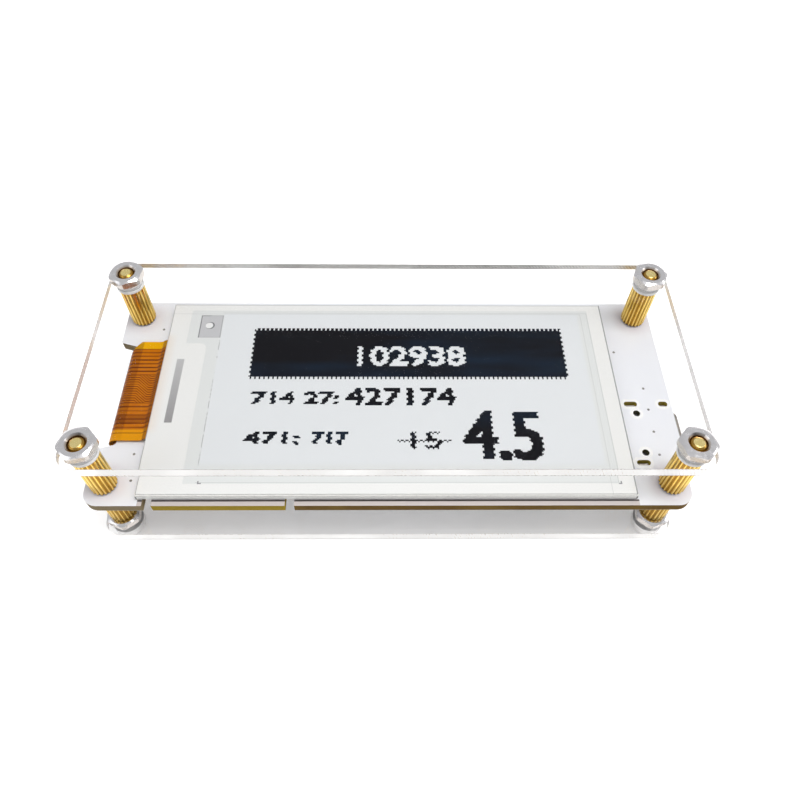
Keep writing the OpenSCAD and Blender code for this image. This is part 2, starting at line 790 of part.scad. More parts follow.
module flex_strip() {
    on_glass = [panel_x0 + flex_bond_l, glass_top + flex_t / 2];
    at_edge = [panel_x0 - flex_gap, glass_top + flex_t / 2];
    path = concat(
        [on_glass],
        step_down(at_edge, at_edge[1] - fold_z - fold_r, -1, flex_bend_r),
        arc([notch_floor_x, fold_z], fold_r, 90, 270, 24),
        [[tail_end_x, slot_z]]
    );
    along_y(flex_y0, flex_y1) polygon(strip(path, flex_t));
}

module display_flex() {
    slant_x = notch_floor_x + fold_r / 3;
    shoulder_y = tail_y1 + (flex_y1 - tail_y1) / 4;
    left = fold_out_x - over;
    top_z = glass_top + flex_t + over;
    low_z = slot_z - flex_t;
    color(amber) union() {
        intersection() {
            flex_strip();
            translate([0, 0, fold_z]) linear_extrude(top_z - fold_z) polygon([
                [panel_x0 + 2 * flex_bond_l, flex_y0], [panel_x0 + 2 * flex_bond_l, flex_y1],
                [slant_x, flex_y1], [fold_out_x, shoulder_y], [left, shoulder_y], [left, flex_y0]
            ]);
        }
        intersection() {
            flex_strip();
            translate([0, 0, low_z]) linear_extrude(fold_z - low_z) polygon([
                [tail_end_x + over, tail_y0], [tail_end_x + over, tail_y1],
                [notch_floor_x, tail_y1], [fold_out_x, shoulder_y], [left, shoulder_y],
                [left, flex_y0], [fold_out_x, flex_y0], [notch_floor_x + fold_r, tail_y0]
            ]);
        }
    }
}

module flex_stiffener() {
    h0 = slot_h + flex_t / 2;
    color([0.2, 0.32, 0.6]) under_board() box(connector_x - tail_in / 6, tail_end_x, tail_y0,
        tail_y1, h0, h0 + stiffener_t);
}

// Flex connector

module pin_path(pin) {
    rise = connector_floor + pin_t / 3 - pin_t / 2;
    rear = connector_x + connector_l;
    path = [
        [connector_x + pivot_in / 3, rise], [rear, rise], [rear + pin_t, pin_t / 2],
        [rear + 6 * pin_t, pin_t / 2]
    ];
    y = -panel_front + (pin - (pin_count - 1) / 2) * pin_pitch;
    translate([0, y, 0]) along_y(-pin_w / 2, pin_w / 2) polygon(strip(path, pin_t));
}

module flex_contacts() {
    color(gold) under_board() for (pin = [0:pin_count - 1]) pin_path(pin);
}

module flex_connector() {
    rear = connector_x + connector_l;
    y0 = -panel_front - connector_w / 2;
    y1 = y0 + connector_w;
    block_x = pivot_x + 2 * latch_r;
    groove_h = connector_floor + pin_t / 3 - pin_t - latch_gap / 5;
    groove_w = pin_w + latch_gap / 2;
    color([0.93, 0.91, 0.84]) under_board() difference() {
        union() {
            box(connector_x, rear, y0, y1, 0, connector_floor);
            box(block_x, rear, y0, y1, 0, connector_h);
            box(connector_x, rear, y0, y0 + cheek_w, 0, connector_h);
            box(connector_x, rear, y1 - cheek_w, y1, 0, connector_h);
        }
        for (pin = [0:pin_count - 1]) {
            y = -panel_front + (pin - (pin_count - 1) / 2) * pin_pitch;
            box(connector_x + pivot_in / 4, rear + over, y - groove_w / 2, y + groove_w / 2,
                groove_h, connector_floor + pin_t / 2);
        }
        translate([pivot_x, -panel_front, pivot_h]) rotate([90, 0, 0])
            cylinder(h = latch_w + cheek_w + 2 * latch_gap, r = pivot_r + pivot_clearance,
                center = true);
        box(connector_x - over, connector_x + cheek_w / 2, y0 + cheek_w / 2, y1 - cheek_w / 2,
            connector_h - cheek_w / 2, connector_h + over);
    }
}

// The latch turns in the cheeks; it lies shut over the tail and stands up to free it
module flex_latch() {
    nose = connector_x + latch_gap;
    top = connector_h - latch_gap;
    low = pivot_h - latch_r;
    color(black_plastic) under_board() translate([0, -panel_front, 0]) {
        along_y(-latch_w / 2, latch_w / 2) polygon(concat(
            [[nose, low + latch_gap], [nose + 2 * latch_gap, low]],
            arc([pivot_x, pivot_h], latch_r, -90, 0, 6),
            [[pivot_x + latch_r, pivot_h + latch_gap], [pivot_x, top],
            [nose + 2 * latch_gap, top], [nose, top - 2 * latch_gap]]
        ));
        translate([pivot_x, 0, pivot_h]) rotate([90, 0, 0])
            cylinder(h = latch_w + cheek_w, r = pivot_r, center = true);
    }
}

// USB socket

module shell_outline(w, h) {
    translate([0, usb_h / 2]) {
        square([w - h, h], center = true);
        for (side = [-1, 1]) translate([side * (w - h) / 2, 0]) circle(d = h);
    }
}

// Draws along X, with the outline's X across the socket and its Y down from the board
module along_socket(x0, x1) {
    translate([x0, -usb_front, 0]) rotate([90, 0, 90]) linear_extrude(x1 - x0) children();
}

module usb_shell() {
    inner_w = usb_w - 2 * usb_wall;
    inner_h = usb_h - 2 * usb_wall;
    rear_x = usb_mouth_x - usb_l;
    color(nickel) under_board() difference() {
        union() {
            along_socket(rear_x, usb_mouth_x) shell_outline(usb_w, usb_h);
            for (row = [0, 1], side = [-1, 1]) {
                l = usb_slot_ls[row] - 2 * leg_clearance;
                inside = side * (usb_w / 2 - usb_wall);
                outside = side * usb_w / 2;
                box(usb_leg_xs[row] - l / 2, usb_leg_xs[row] + l / 2,
                    -usb_front + min(inside, outside), -usb_front + max(inside, outside),
                    -leg_up, usb_h / 2);
            }
        }
        along_socket(rear_x - over, usb_mouth_x + over) shell_outline(inner_w, inner_h);
    }
}

module usb_tongue() {
    rear_x = usb_mouth_x - usb_l;
    block_x = rear_x + usb_block_l;
    gap = leg_clearance / 5;
    peg_d = usb_peg_hole_d - 2 * leg_clearance;
    color(black_plastic) under_board() {
        along_socket(rear_x, block_x)
            shell_outline(usb_w - 2 * usb_wall - 2 * gap, usb_h - 2 * usb_wall - 2 * gap);
        along_socket(block_x, usb_mouth_x - tongue_in) translate([0, usb_h / 2])
            rounded_rect(tongue_w, tongue_t, tongue_t / 4);
        along_socket(block_x, block_x + usb_block_l / 2) translate([0, usb_h / 2])
            rounded_rect(tongue_w, 2 * tongue_t, tongue_t / 4);
    }
    color(black_plastic) under_board() for (side = [-1, 1])
        translate([usb_legs_x + usb_peg_step, -usb_front + side * usb_peg_side, 0])
            translate([0, 0, -board_t / 2])
                cylinder(h = board_t / 2, d = peg_d, $fn = 24);
}

module usb_contacts() {
    tip_x = usb_mouth_x - tongue_in - tongue_t;
    base_x = usb_mouth_x - usb_l + 1.5 * usb_block_l;
    foil = lead_t / 3;
    rear_x = usb_mouth_x - usb_l;
    color(gold) under_board() {
        for (place = usb_contact_shares, side = [-1, 1]) {
            y = -usb_front + place * pin_pitch;
            h = usb_h / 2 + side * (tongue_t + foil) / 2;
            box(base_x, tip_x, y - pin_w / 2, y + pin_w / 2, h - foil / 2, h + foil / 2);
        }
        for (pin = [0:usb_tail_count - 1]) {
            y = -usb_front + (pin - (usb_tail_count - 1) / 2) * pin_pitch;
            box(rear_x - lead_reach, rear_x, y - pin_w / 2, y + pin_w / 2, 0, lead_t);
        }
    }
}

// Battery socket

module battery_socket() {
    y0 = battery_mouth_y - battery_l;
    x0 = battery_x - battery_w / 2;
    x1 = battery_x + battery_w / 2;
    key_w = battery_w / 3;
    floor_l = battery_l / 4;
    color([0.94, 0.92, 0.86]) under_board() difference() {
        box(x0, x1, y0, battery_mouth_y, 0, battery_h);
        box(x0 + battery_wall, x1 - battery_wall, y0 + floor_l, battery_mouth_y + over,
            battery_wall, battery_h - battery_wall);
        box(battery_x - key_w / 2, battery_x + key_w / 2, y0 + battery_l / 2,
            battery_mouth_y + over, battery_h - battery_wall - over, battery_h + over);
        for (side = [-1, 1]) {
            x = battery_x + side * battery_pitch / 2;
            box(x - battery_pin / 2, x + battery_pin / 2, y0 - over, y0 + floor_l + over,
                battery_h / 2 - battery_pin / 2, battery_h / 2 + battery_pin / 2);
        }
    }
}

module battery_pins() {
    y0 = battery_mouth_y - battery_l;
    tip_y = battery_mouth_y - battery_l / 5;
    mid = battery_h / 2;
    color(tin) under_board() for (side = [-1, 1]) {
        x = battery_x + side * battery_pitch / 2;
        box(x - battery_pin / 2, x + battery_pin / 2, y0 - battery_pin, tip_y,
            mid - battery_pin / 2, mid + battery_pin / 2);
        box(x - battery_pin / 2, x + battery_pin / 2, y0 - battery_pin, y0, 0, mid);
        box(x - battery_pin / 2, x + battery_pin / 2, y0 - 2 * battery_pin, y0, 0, lead_t);
    }
}

// Push switches: base, sprung dome, button and metal cover

well_h = switch_base_h / 3;
dome_t = switch_cover_t / 2;
dome_r = button_d * 0.75;
dome_rise = button_travel;
button_foot_h = well_h + dome_rise + dome_t;

module switch_base(x) {
    color(black_plastic) under_board(x, switch_y) difference() {
        box(-switch_w / 2, switch_w / 2, -switch_d / 2, switch_d / 2, 0, switch_base_h);
        translate([0, 0, well_h]) cylinder(h = switch_base_h, r = dome_r + button_clearance);
    }
}

module reset_switch_base() { switch_base(reset_x); }

module user_switch_base() { switch_base(user_x); }

module switch_cover(x) {
    clip_w = switch_d / 3;
    outer = switch_w / 2 + switch_cover_t;
    color(nickel) under_board(x, switch_y) {
        difference() {
            box(-switch_w / 2, switch_w / 2, -switch_d / 2, switch_d / 2, switch_base_h,
                switch_base_h + switch_cover_t);
            translate([0, 0, switch_base_h - over])
                cylinder(h = switch_cover_t + 2 * over, r = button_d / 2 + button_clearance);
        }
        for (side = [-1, 1])
            box(min(side * switch_w / 2, side * outer), max(side * switch_w / 2, side * outer),
                -clip_w / 2, clip_w / 2, switch_base_h / 3, switch_base_h + switch_cover_t);
    }
}

module reset_switch_cover() { switch_cover(reset_x); }

module user_switch_cover() { switch_cover(user_x); }

// A domed spring disc, as thick as a foil
module dome() {
    rotate_extrude() polygon(concat(
        [for (i = [0:6]) [dome_r * i / 6, dome_rise * (1 - pow(i / 6, 2))]],
        [for (i = [6:-1:0]) [dome_r * i / 6, dome_rise * (1 - pow(i / 6, 2)) + dome_t]]
    ));
}

module switch_dome(x) {
    color(tin) under_board(x, switch_y) translate([0, 0, well_h]) dome();
}

module reset_switch_dome() { switch_dome(reset_x); }

module user_switch_dome() { switch_dome(user_x); }

module button(x) {
    top = switch_base_h + switch_cover_t + button_proud;
    flange_r = dome_r - 2 * button_clearance;
    flange_top = switch_base_h - button_clearance;
    edge = button_d / 10;
    color([0.95, 0.94, 0.9]) under_board(x, switch_y) rotate_extrude() polygon([
        [0, button_foot_h], [flange_r, button_foot_h], [flange_r, flange_top],
        [button_d / 2, flange_top], [button_d / 2, top - edge], [button_d / 2 - edge, top], [0, top]
    ]);
}

module reset_button() { button(reset_x); }

module user_button() { button(user_x); }

module switch_legs() {
    leg_y = switch_d / 2 - lead_w;
    color(tin) for (x = [reset_x, user_x], side = [-1, 1], end = [-1, 1])
        under_board(x + side * (switch_w / 2 + lead_reach / 2), switch_y + end * leg_y)
            box(-lead_reach / 2, lead_reach / 2, -lead_w / 2, lead_w / 2, 0, lead_t);
}

// Radio module

module radio_board() {
    color([0.06, 0.07, 0.09]) under_board() difference() {
        box(radio_x - radio_w / 2, radio_x + radio_w / 2, radio_y1 - radio_l, radio_y1, 0,
            radio_board_t);
        for (i = [0:castellation_count - 1], side = [-1, 1])
            translate([radio_x + side * radio_w / 2,
                radio_y1 - radio_l + (i + 1) * castellation_pitch, -over])
                cylinder(h = radio_board_t + 2 * over, d = castellation_pitch / 2, $fn = 16);
    }
}

module radio_shield() {
    w = radio_w - 2 * shield_inset;
    y0 = radio_y1 - radio_l + shield_inset;
    color(tin) under_board(radio_x, y0 + shield_l / 2) translate([0, 0, radio_board_t])
        difference() {
            linear_extrude(shield_h) rounded_rect(w, shield_l, shield_inset / 2);
            translate([0, 0, -over]) linear_extrude(shield_h - shield_wall + over)
                rounded_rect(w - 2 * shield_wall, shield_l - 2 * shield_wall, shield_inset / 3);
        }
}

// The antenna's copper line, folded to and fro across the module's bare end
module radio_antenna() {
    turns = 5;
    pitch = (radio_w - 2 * shield_inset) / (2 * turns);
    y0 = radio_y1 - antenna_l + 2 * antenna_line;
    y1 = radio_y1 - antenna_line;
    x0 = radio_x - radio_w / 2 + shield_inset;
    z0 = radio_board_t;
    color(gold) under_board() {
        for (i = [0:2 * turns])
            box(x0 + i * pitch, x0 + i * pitch + antenna_line, y0, y1, z0, z0 + lead_t / 3);
        for (i = [0:2 * turns - 1]) {
            y = i % 2 == 0 ? y1 - antenna_line : y0;
            box(x0 + i * pitch, x0 + (i + 1) * pitch + antenna_line, y, y + antenna_line, z0,
                z0 + lead_t / 3);
        }
    }
}

// Chips and small parts

module bridge_chip() {
    color(black_plastic) at_share(bridge_place_share)
        translate([-bridge_w / 2, -bridge_w / 2, lead_t / 3])
            cube([bridge_w, bridge_w, bridge_h - lead_t / 3]);
}

module bridge_chip_pads() {
    pitch = bridge_w / (bridge_pads + 1);
    color(tin) at_share(bridge_place_share) for (side = [0:3], i = [1:bridge_pads])
        rotate(90 * side) translate([bridge_w / 2 - lead_w, i * pitch - bridge_w / 2 - pitch / 4, 0])
            cube([lead_w + lead_t, pitch / 2, lead_t / 3]);
}

module power_chips() {
    foot = lead_t;
    color(black_plastic) for (place = power_chip_place_shares) at_share(place)
        box(-power_chip_l / 2, power_chip_l / 2, -power_chip_w / 2, power_chip_w / 2, foot,
            power_chip_h + foot);
}

module diodes() {
    color(black_plastic) for (place = diode_place_shares) at_share(place)
        box(-diode_l / 2, diode_l / 2, -diode_w / 2, diode_w / 2, lead_t, diode_h + lead_t);
}

// A leg bent down from the body's side to the board, reaching out along +Y
module gull_leg(from, h) {
    path = [[from, h], [from + lead_reach / 3, h], [from + lead_reach / 2, lead_t / 2],
        [from + lead_reach, lead_t / 2]];
    rotate(90) along_y(-lead_w / 2, lead_w / 2) polygon(strip(path, lead_t));
}

module chip_legs() {
    color(tin) {
        for (place = power_chip_place_shares) at_share(place) for (row = power_lead_shares)
            translate([row[0] * power_chip_l / 3, 0, 0]) rotate(row[1] > 0 ? 0 : 180)
                gull_leg(power_chip_w / 2, power_chip_h / 2 + lead_t);
        for (place = diode_place_shares) at_share(place) for (turn = [90, -90])
            rotate(turn) gull_leg(diode_l / 2, diode_h / 2 + lead_t);
    }
}

module boost_inductor() {
    edge = inductor_w / 12;
    color([0.3, 0.3, 0.31]) at_share(inductor_place_share) translate([0, 0, lead_t])
        linear_extrude(inductor_h - lead_t) rounded_rect(inductor_w, inductor_w, edge);
}

module inductor_terminals() {
    pad = inductor_w / 4;
    color(tin) at_share(inductor_place_share) for (side = [-1, 1])
        translate([side * (inductor_w - pad) / 2, 0, lead_t / 2])
            cube([pad, inductor_w * 0.7, lead_t], center = true);
}

module crystal() {
    lip = crystal_h / 4;
    color(tin) at_share(crystal_place_share) {
        linear_extrude(lip) rounded_rect(crystal_l, crystal_w, lip);
        linear_extrude(crystal_h) rounded_rect(crystal_l - 2 * lip, crystal_w - 2 * lip, lip);
    }
}

module chip_body(h) {
    box(chip_end_l - chip_part_l / 2, chip_part_l / 2 - chip_end_l, -chip_part_w / 2,
        chip_part_w / 2, 0, h);
}

module chip_ends(h) {
    for (side = [-1, 1]) translate([side * (chip_part_l - chip_end_l) / 2, 0, h / 2])
        cube([chip_end_l, chip_part_w, h], center = true);
}

module capacitors() {
    color([0.72, 0.6, 0.45]) for (place = capacitor_place_shares) at_share(place)
        chip_body(capacitor_h);
}

module resistors() {
    color(black_plastic) for (place = resistor_place_shares) at_share(place)
        chip_body(resistor_h);
}

module chip_part_ends() {
    color(tin) {
        for (place = capacitor_place_shares) at_share(place) chip_ends(capacitor_h);
        for (place = resistor_place_shares) at_share(place) chip_ends(resistor_h);
    }
}

module status_lights() {
    color([0.9, 0.92, 0.85]) for (place = led_place_shares) at_share(place)
        box(-led_l / 2, led_l / 2, -led_w / 2, led_w / 2, 0, led_h);
}

top_plate();
bottom_plate();
upper_standoffs();
lower_standoffs();
top_nuts();
bottom_nuts();
bottom_screws();
circuit_board();
mounting_tape();
display_glass();
ink_film();
edge_seal();
contact_pad();
driver_chip();
ledge_mask();
cover_film();
display_flex();
flex_stiffener();
flex_connector();
flex_contacts();
flex_latch();
usb_shell();
usb_tongue();
usb_contacts();
battery_socket();
battery_pins();
reset_switch_base();
reset_switch_cover();
reset_button();
user_switch_base();
user_switch_cover();
user_button();
reset_switch_dome();
user_switch_dome();
switch_legs();
radio_board();
radio_shield();
radio_antenna();
bridge_chip();
bridge_chip_pads();
power_chips();
diodes();
chip_legs();
boost_inductor();
inductor_terminals();
crystal();
capacitors();
resistors();
chip_part_ends();
status_lights();
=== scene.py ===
# %% [markdown]
# # A small e-paper shelf label between two clear plates
#
# The hard parts of the label come ready made from the CAD model. This lesson dresses them: it
# gives each part the finish of the real thing, and adds what is too thin or too fine for CAD,
# such as the ink on the screen, the frosted rims and the solder. Every piece is in metres and
# in the frame of the CAD model, so nothing has to be fitted by hand.

# %% Load the frame
import math

import bmesh
import bpy
from mathutils import Matrix, Vector
from mathutils.bvhtree import BVHTree


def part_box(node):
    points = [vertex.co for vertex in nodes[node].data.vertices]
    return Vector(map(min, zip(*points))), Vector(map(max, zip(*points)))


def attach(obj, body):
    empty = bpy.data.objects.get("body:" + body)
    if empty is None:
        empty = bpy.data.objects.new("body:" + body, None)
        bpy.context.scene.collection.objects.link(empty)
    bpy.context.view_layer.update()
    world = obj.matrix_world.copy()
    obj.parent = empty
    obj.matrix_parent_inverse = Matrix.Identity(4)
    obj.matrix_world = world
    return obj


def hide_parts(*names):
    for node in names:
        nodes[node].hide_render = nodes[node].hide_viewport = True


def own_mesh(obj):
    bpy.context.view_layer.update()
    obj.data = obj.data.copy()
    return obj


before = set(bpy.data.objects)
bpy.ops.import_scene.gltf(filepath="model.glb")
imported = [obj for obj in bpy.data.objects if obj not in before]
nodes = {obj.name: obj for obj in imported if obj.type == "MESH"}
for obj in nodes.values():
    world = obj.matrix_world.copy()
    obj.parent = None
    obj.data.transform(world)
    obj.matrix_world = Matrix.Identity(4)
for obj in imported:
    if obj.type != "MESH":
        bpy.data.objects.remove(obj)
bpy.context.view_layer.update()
scene = bpy.context.scene
print(len(nodes), "parts came with the frame")

# %% [markdown]
# ## Measures
#
# The drawings of such a label are in millimetres and Blender works in metres, so one value
# turns one into the other.

# %% Places taken from the frame
MM = 0.001
WELD = 0.0005
SCREW_X = 34.0
SCREW_Y = 12.8
SCREWS = [Vector((side * SCREW_X, depth * SCREW_Y, 0.0)) * MM
          for side in (-1, 1) for depth in (-1, 1)]

film_low, film_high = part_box("cover_film")
board_low, board_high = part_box("circuit_board")
top_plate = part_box("top_plate")
lower_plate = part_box("bottom_plate")
stud_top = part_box("upper_standoffs")[1].z
film_top = film_high.z / MM
board_top = board_high.z / MM
board_under = board_low.z / MM
print("cover film lies at", round(film_top, 2), "mm, the board at", round(board_top, 2), "mm")

# %% [markdown]
# ## A few hands for the shader work
#
# Every finish below is built from nodes: noise, ramps, masks and relief. Wiring them by hand
# takes a line for each socket, so these helpers do the wiring. They all work in millimetres on
# the object's own coordinates, which stay with a piece when it moves.

# %% Wiring helpers
def feed(tree, socket, value):
    """Wires a node's output into a socket, or writes a plain value on it."""
    if isinstance(value, bpy.types.NodeSocket):
        tree.links.new(value, socket)
    else:
        socket.default_value = value


def calc(tree, operation, *values):
    """One step of arithmetic."""
    step = tree.nodes.new("ShaderNodeMath")
    step.operation = operation
    for socket, value in zip(step.inputs, values):
        feed(tree, socket, value)
    return step.outputs[0]


def times(tree, first, *others):
    """The product of several values."""
    for value in others:
        first = calc(tree, "MULTIPLY", first, value)
    return first


def most(tree, first, *others):
    """The largest of several values."""
    for value in others:
        first = calc(tree, "MAXIMUM", first, value)
    return first


def opposite(tree, share):
    """1 where the share is 0, and 0 where it is 1."""
    return calc(tree, "SUBTRACT", 1.0, share)


def millimetres(tree, stretch=(1.0, 1.0, 1.0), turn=0.0):
    """The place on the piece in millimetres, stretched or turned about Z where a grain needs it."""
    place = tree.nodes.new("ShaderNodeTexCoord")
    scaled = tree.nodes.new("ShaderNodeMapping")
    scaled.inputs["Scale"].default_value = [share / MM for share in stretch]
    scaled.inputs["Rotation"].default_value = (0.0, 0.0, turn)
    tree.links.new(place.outputs["Object"], scaled.inputs["Vector"])
    return scaled.outputs[0]


def split(tree, vector):
    """The X, Y and Z of a vector."""
    parts = tree.nodes.new("ShaderNodeSeparateXYZ")
    tree.links.new(vector, parts.inputs[0])
    return parts.outputs


def noise(tree, place, scale, detail=2.0, roughness=0.5):
    """Cloudy noise from 0 to 1, with about this many clouds to a millimetre."""
    cloud = tree.nodes.new("ShaderNodeTexNoise")
    cloud.inputs["Scale"].default_value = scale
    cloud.inputs["Detail"].default_value = detail
    cloud.inputs["Roughness"].default_value = roughness
    tree.links.new(place, cloud.inputs["Vector"])
    return cloud.outputs["Fac"]


def stripes(tree, value, step):
    """Waves from -1 to 1, one to each step of the value."""
    return calc(tree, "SINE", times(tree, value, math.tau / step))


print("wiring helpers ready")

# %% [markdown]
# A mask is a value from 0 to 1 that says where something is: on the cut, inside a rectangle, in
# the groove of a knurl. Masks are made with soft borders, because real borders are never sharp.

# %% Masks
def spread(tree, value, low, high, to_low=0.0, to_high=1.0, smooth=False):
    """Takes low..high to to_low..to_high and stops at both ends."""
    ranged = tree.nodes.new("ShaderNodeMapRange")
    ranged.interpolation_type = "SMOOTHSTEP" if smooth else "LINEAR"
    for socket, number in zip(ranged.inputs, (value, low, high, to_low, to_high)):
        feed(tree, socket, number)
    return ranged.outputs[0]


def between(tree, value, low, high, soft):
    """1 between low and high, fading over soft at both ends."""
    rise = spread(tree, value, low - soft, low + soft, smooth=True)
    fall = spread(tree, value, high - soft, high + soft, 1.0, 0.0, smooth=True)
    return times(tree, rise, fall)


def grown(box, room):
    """The rectangle (x0, y0, x1, y1) with this much room on every side."""
    x0, y0, x1, y1 = box
    return x0 - room, y0 - room, x1 + room, y1 + room


def in_box(tree, x, y, box, soft=0.05):
    """1 inside a rectangle."""
    x0, y0, x1, y1 = box
    return times(tree, between(tree, x, x0, x1, soft), between(tree, y, y0, y1, soft))


def in_round_box(tree, x, y, box, radius, soft=0.05):
    """1 inside a rectangle with rounded corners."""
    x0, y0, x1, y1 = box
    reach = []
    for value, low, high in ((x, x0, x1), (y, y0, y1)):
        from_middle = calc(tree, "ABSOLUTE", calc(tree, "SUBTRACT", value, (low + high) / 2.0))
        past = calc(tree, "SUBTRACT", from_middle, (high - low) / 2.0 - radius)
        past = most(tree, past, 0.0)
        reach.append(times(tree, past, past))
    away = calc(tree, "SQRT", calc(tree, "ADD", *reach))
    return spread(tree, away, radius - soft, radius + soft, 1.0, 0.0, smooth=True)


def ring_of(tree, x, y, box, width):
    """1 on a thin line along a rectangle's border."""
    outside, inside = (in_box(tree, x, y, edge, 0.02) for edge in (box, grown(box, -width)))
    return calc(tree, "SUBTRACT", outside, inside)


def side_share(tree):
    """1 on upright faces, 0 on faces that look up or down."""
    surface = tree.nodes.new("ShaderNodeNewGeometry")
    upright = calc(tree, "ABSOLUTE", split(tree, surface.outputs["True Normal"])[2])
    return spread(tree, upright, 0.45, 0.55, 1.0, 0.0)


def from_screw(tree):
    """The distance to the nearest screw's axis, in millimetres."""
    x, y, _ = split(tree, millimetres(tree))
    away_x = calc(tree, "SUBTRACT", calc(tree, "ABSOLUTE", x), SCREW_X)
    away_y = calc(tree, "SUBTRACT", calc(tree, "ABSOLUTE", y), SCREW_Y)
    return calc(tree, "SQRT", calc(tree, "ADD", times(tree, away_x, away_x),
                                   times(tree, away_y, away_y)))


print("masks ready")

# %% [markdown]
# The last helpers put colours together and hand them to the shader.

# %% Finish helpers
def tint(tree, share, first, second):
    """Mixes two colours by a share."""
    mix = tree.nodes.new("ShaderNodeMix")
    mix.data_type = "RGBA"
    feed(tree, mix.inputs["Factor"], share)
    for socket, colour in ((mix.inputs[6], first), (mix.inputs[7], second)):
        feed(tree, socket, colour if isinstance(colour, bpy.types.NodeSocket) else (*colour, 1.0))
    return mix.outputs[2]


def over(tree, colour, mask, tone, share=1.0):
    """Lays a tone over a colour where the mask is, this strongly."""
    return tint(tree, mask if share == 1.0 else times(tree, mask, share), colour, tone)


def relief(tree, height, depth, strength=1.0):
    """Bumps the surface by a height from 0 to 1 that stands this many millimetres."""
    bump = tree.nodes.new("ShaderNodeBump")
    bump.inputs["Strength"].default_value = strength
    bump.inputs["Distance"].default_value = depth * MM
    tree.links.new(height, bump.inputs["Height"])
    return bump.outputs[0]


def finish(name, **settings):
    """A new finish: its material, its tree and its shader, with plain settings written on it."""
    material = bpy.data.materials.new(name)
    material.use_nodes = True
    tree = material.node_tree
    shader = tree.nodes["Principled BSDF"]
    for words, value in settings.items():
        socket = shader.inputs[words.replace("_", " ").title().replace("Ior", "IOR")]
        socket.default_value = (*value, 1.0) if isinstance(value, tuple) else value
    return material, tree, shader


def cover(tree, shader, colour, rough, height, depth, strength):
    """Gives a shader its colour, its roughness and its relief."""
    feed(tree, shader.inputs["Base Color"], colour)
    feed(tree, shader.inputs["Roughness"], rough)
    feed(tree, shader.inputs["Normal"], relief(tree, height, depth, strength))


def let_through(tree, shader, *shares):
    """Makes the surface clear where one of the shares is 1."""
    clear = tree.nodes.new("ShaderNodeBsdfTransparent")
    seen = shader.outputs[0]
    for share in shares:
        mix = tree.nodes.new("ShaderNodeMixShader")
        tree.links.new(share, mix.inputs[0])
        tree.links.new(seen, mix.inputs[1])
        tree.links.new(clear.outputs[0], mix.inputs[2])
        seen = mix.outputs[0]
    tree.links.new(seen, tree.nodes["Material Output"].inputs["Surface"])


print("finish helpers ready")

# %% [markdown]
# ## The camera
#
# The label is seen from the front and from well above, close enough for its front edge to look
# longer than its rear edge. The tilt is the main angle; the turn and the roll are the small
# errors of a camera held by hand. The matrix is put together from the three directions that
# these angles give.

# %% Set up the camera
CAMERA_PLACE = Vector((-0.01, -52.98, 87.42)) * MM
CAMERA_TILT = 0.966
CAMERA_TURN = -0.026
CAMERA_ROLL = 0.022
CAMERA_LENS = 31.97
CAMERA_SENSOR = 36.0

camera_data = bpy.data.cameras.new("camera")
camera_data.lens = CAMERA_LENS
camera_data.sensor_width = CAMERA_SENSOR
camera_data.clip_start = MM
camera = bpy.data.objects.new("camera", camera_data)
scene.collection.objects.link(camera)
scene.camera = camera

turn = Matrix.Rotation(CAMERA_TURN, 3, "Z")
ahead = turn @ Vector((0.0, math.cos(CAMERA_TILT), -math.sin(CAMERA_TILT)))
upward = turn @ Vector((0.0, math.sin(CAMERA_TILT), math.cos(CAMERA_TILT)))
rightward = turn @ Vector((1.0, 0.0, 0.0))
roll = Matrix.Rotation(CAMERA_ROLL, 3, -ahead)
camera_axes = Matrix((roll @ rightward, roll @ upward, -ahead)).transposed()
camera.matrix_world = Matrix.Translation(CAMERA_PLACE) @ camera_axes.to_4x4()
print("camera looks down by", round(math.degrees(CAMERA_TILT), 1), "degrees")

# %% [markdown]
# ## Floor, sky and lamps
#
# The label stands on white paper in soft light. The floor is a plain white sheet that keeps the
# shadow under the board; a little glow, seen by the camera and in reflections only, lifts the
# paper to full white without putting more light on the object. Seen from below the paper is
# clear, so that it never hides the underside. The sky is a soft tent: bright overhead, with a
# darker front, because metal needs something dark to reflect before it looks like metal.

# %% Lay the paper
PAPER_HALF = 0.9
PAPER_GLOW = 0.52
SHADE_GLOW = 0.20
SHADE_HALF = (35.2, 14.7)
SHADE_SOFT = (2.2, 0.30)

paper_mesh = bmesh.new()
bmesh.ops.create_grid(paper_mesh, x_segments=1, y_segments=1, size=PAPER_HALF)
paper_data = bpy.data.meshes.new("paper")
paper_mesh.to_mesh(paper_data)
paper_mesh.free()
paper = bpy.data.objects.new("paper", paper_data)
scene.collection.objects.link(paper)

paper_finish, tree, shader = finish("white paper", base_color=(0.86, 0.85, 0.84), roughness=0.9,
                                    specular_ior_level=0.1, emission_color=(1.0, 1.0, 1.0))
rays = tree.nodes.new("ShaderNodeLightPath").outputs
seen = most(tree, rays["Is Camera Ray"], rays["Is Transmission Ray"], rays["Is Glossy Ray"])
# The glow is weaker over the plate's footprint: a painted shadow on the paper under the label.
painted_shadow_footprint = times(tree, *[between(tree, place, -half, half, soft) for place, half, soft
                            in zip(split(tree, millimetres(tree)), SHADE_HALF, SHADE_SOFT)])
glow = spread(tree, painted_shadow_footprint, 0.0, 1.0, PAPER_GLOW, SHADE_GLOW)
feed(tree, shader.inputs["Emission Strength"], times(tree, seen, glow))
let_through(tree, shader, tree.nodes.new("ShaderNodeNewGeometry").outputs["Backfacing"])
paper_data.materials.append(paper_finish)
print("paper laid")

# %% Hang the sky
TENT_BRIGHT = (0.98, 0.99, 1.0)
TENT_FRONT = (0.16, 0.16, 0.17)
TENT_MIRRORED = (0.03, 0.03, 0.035)
TENT_SHARE = 0.60

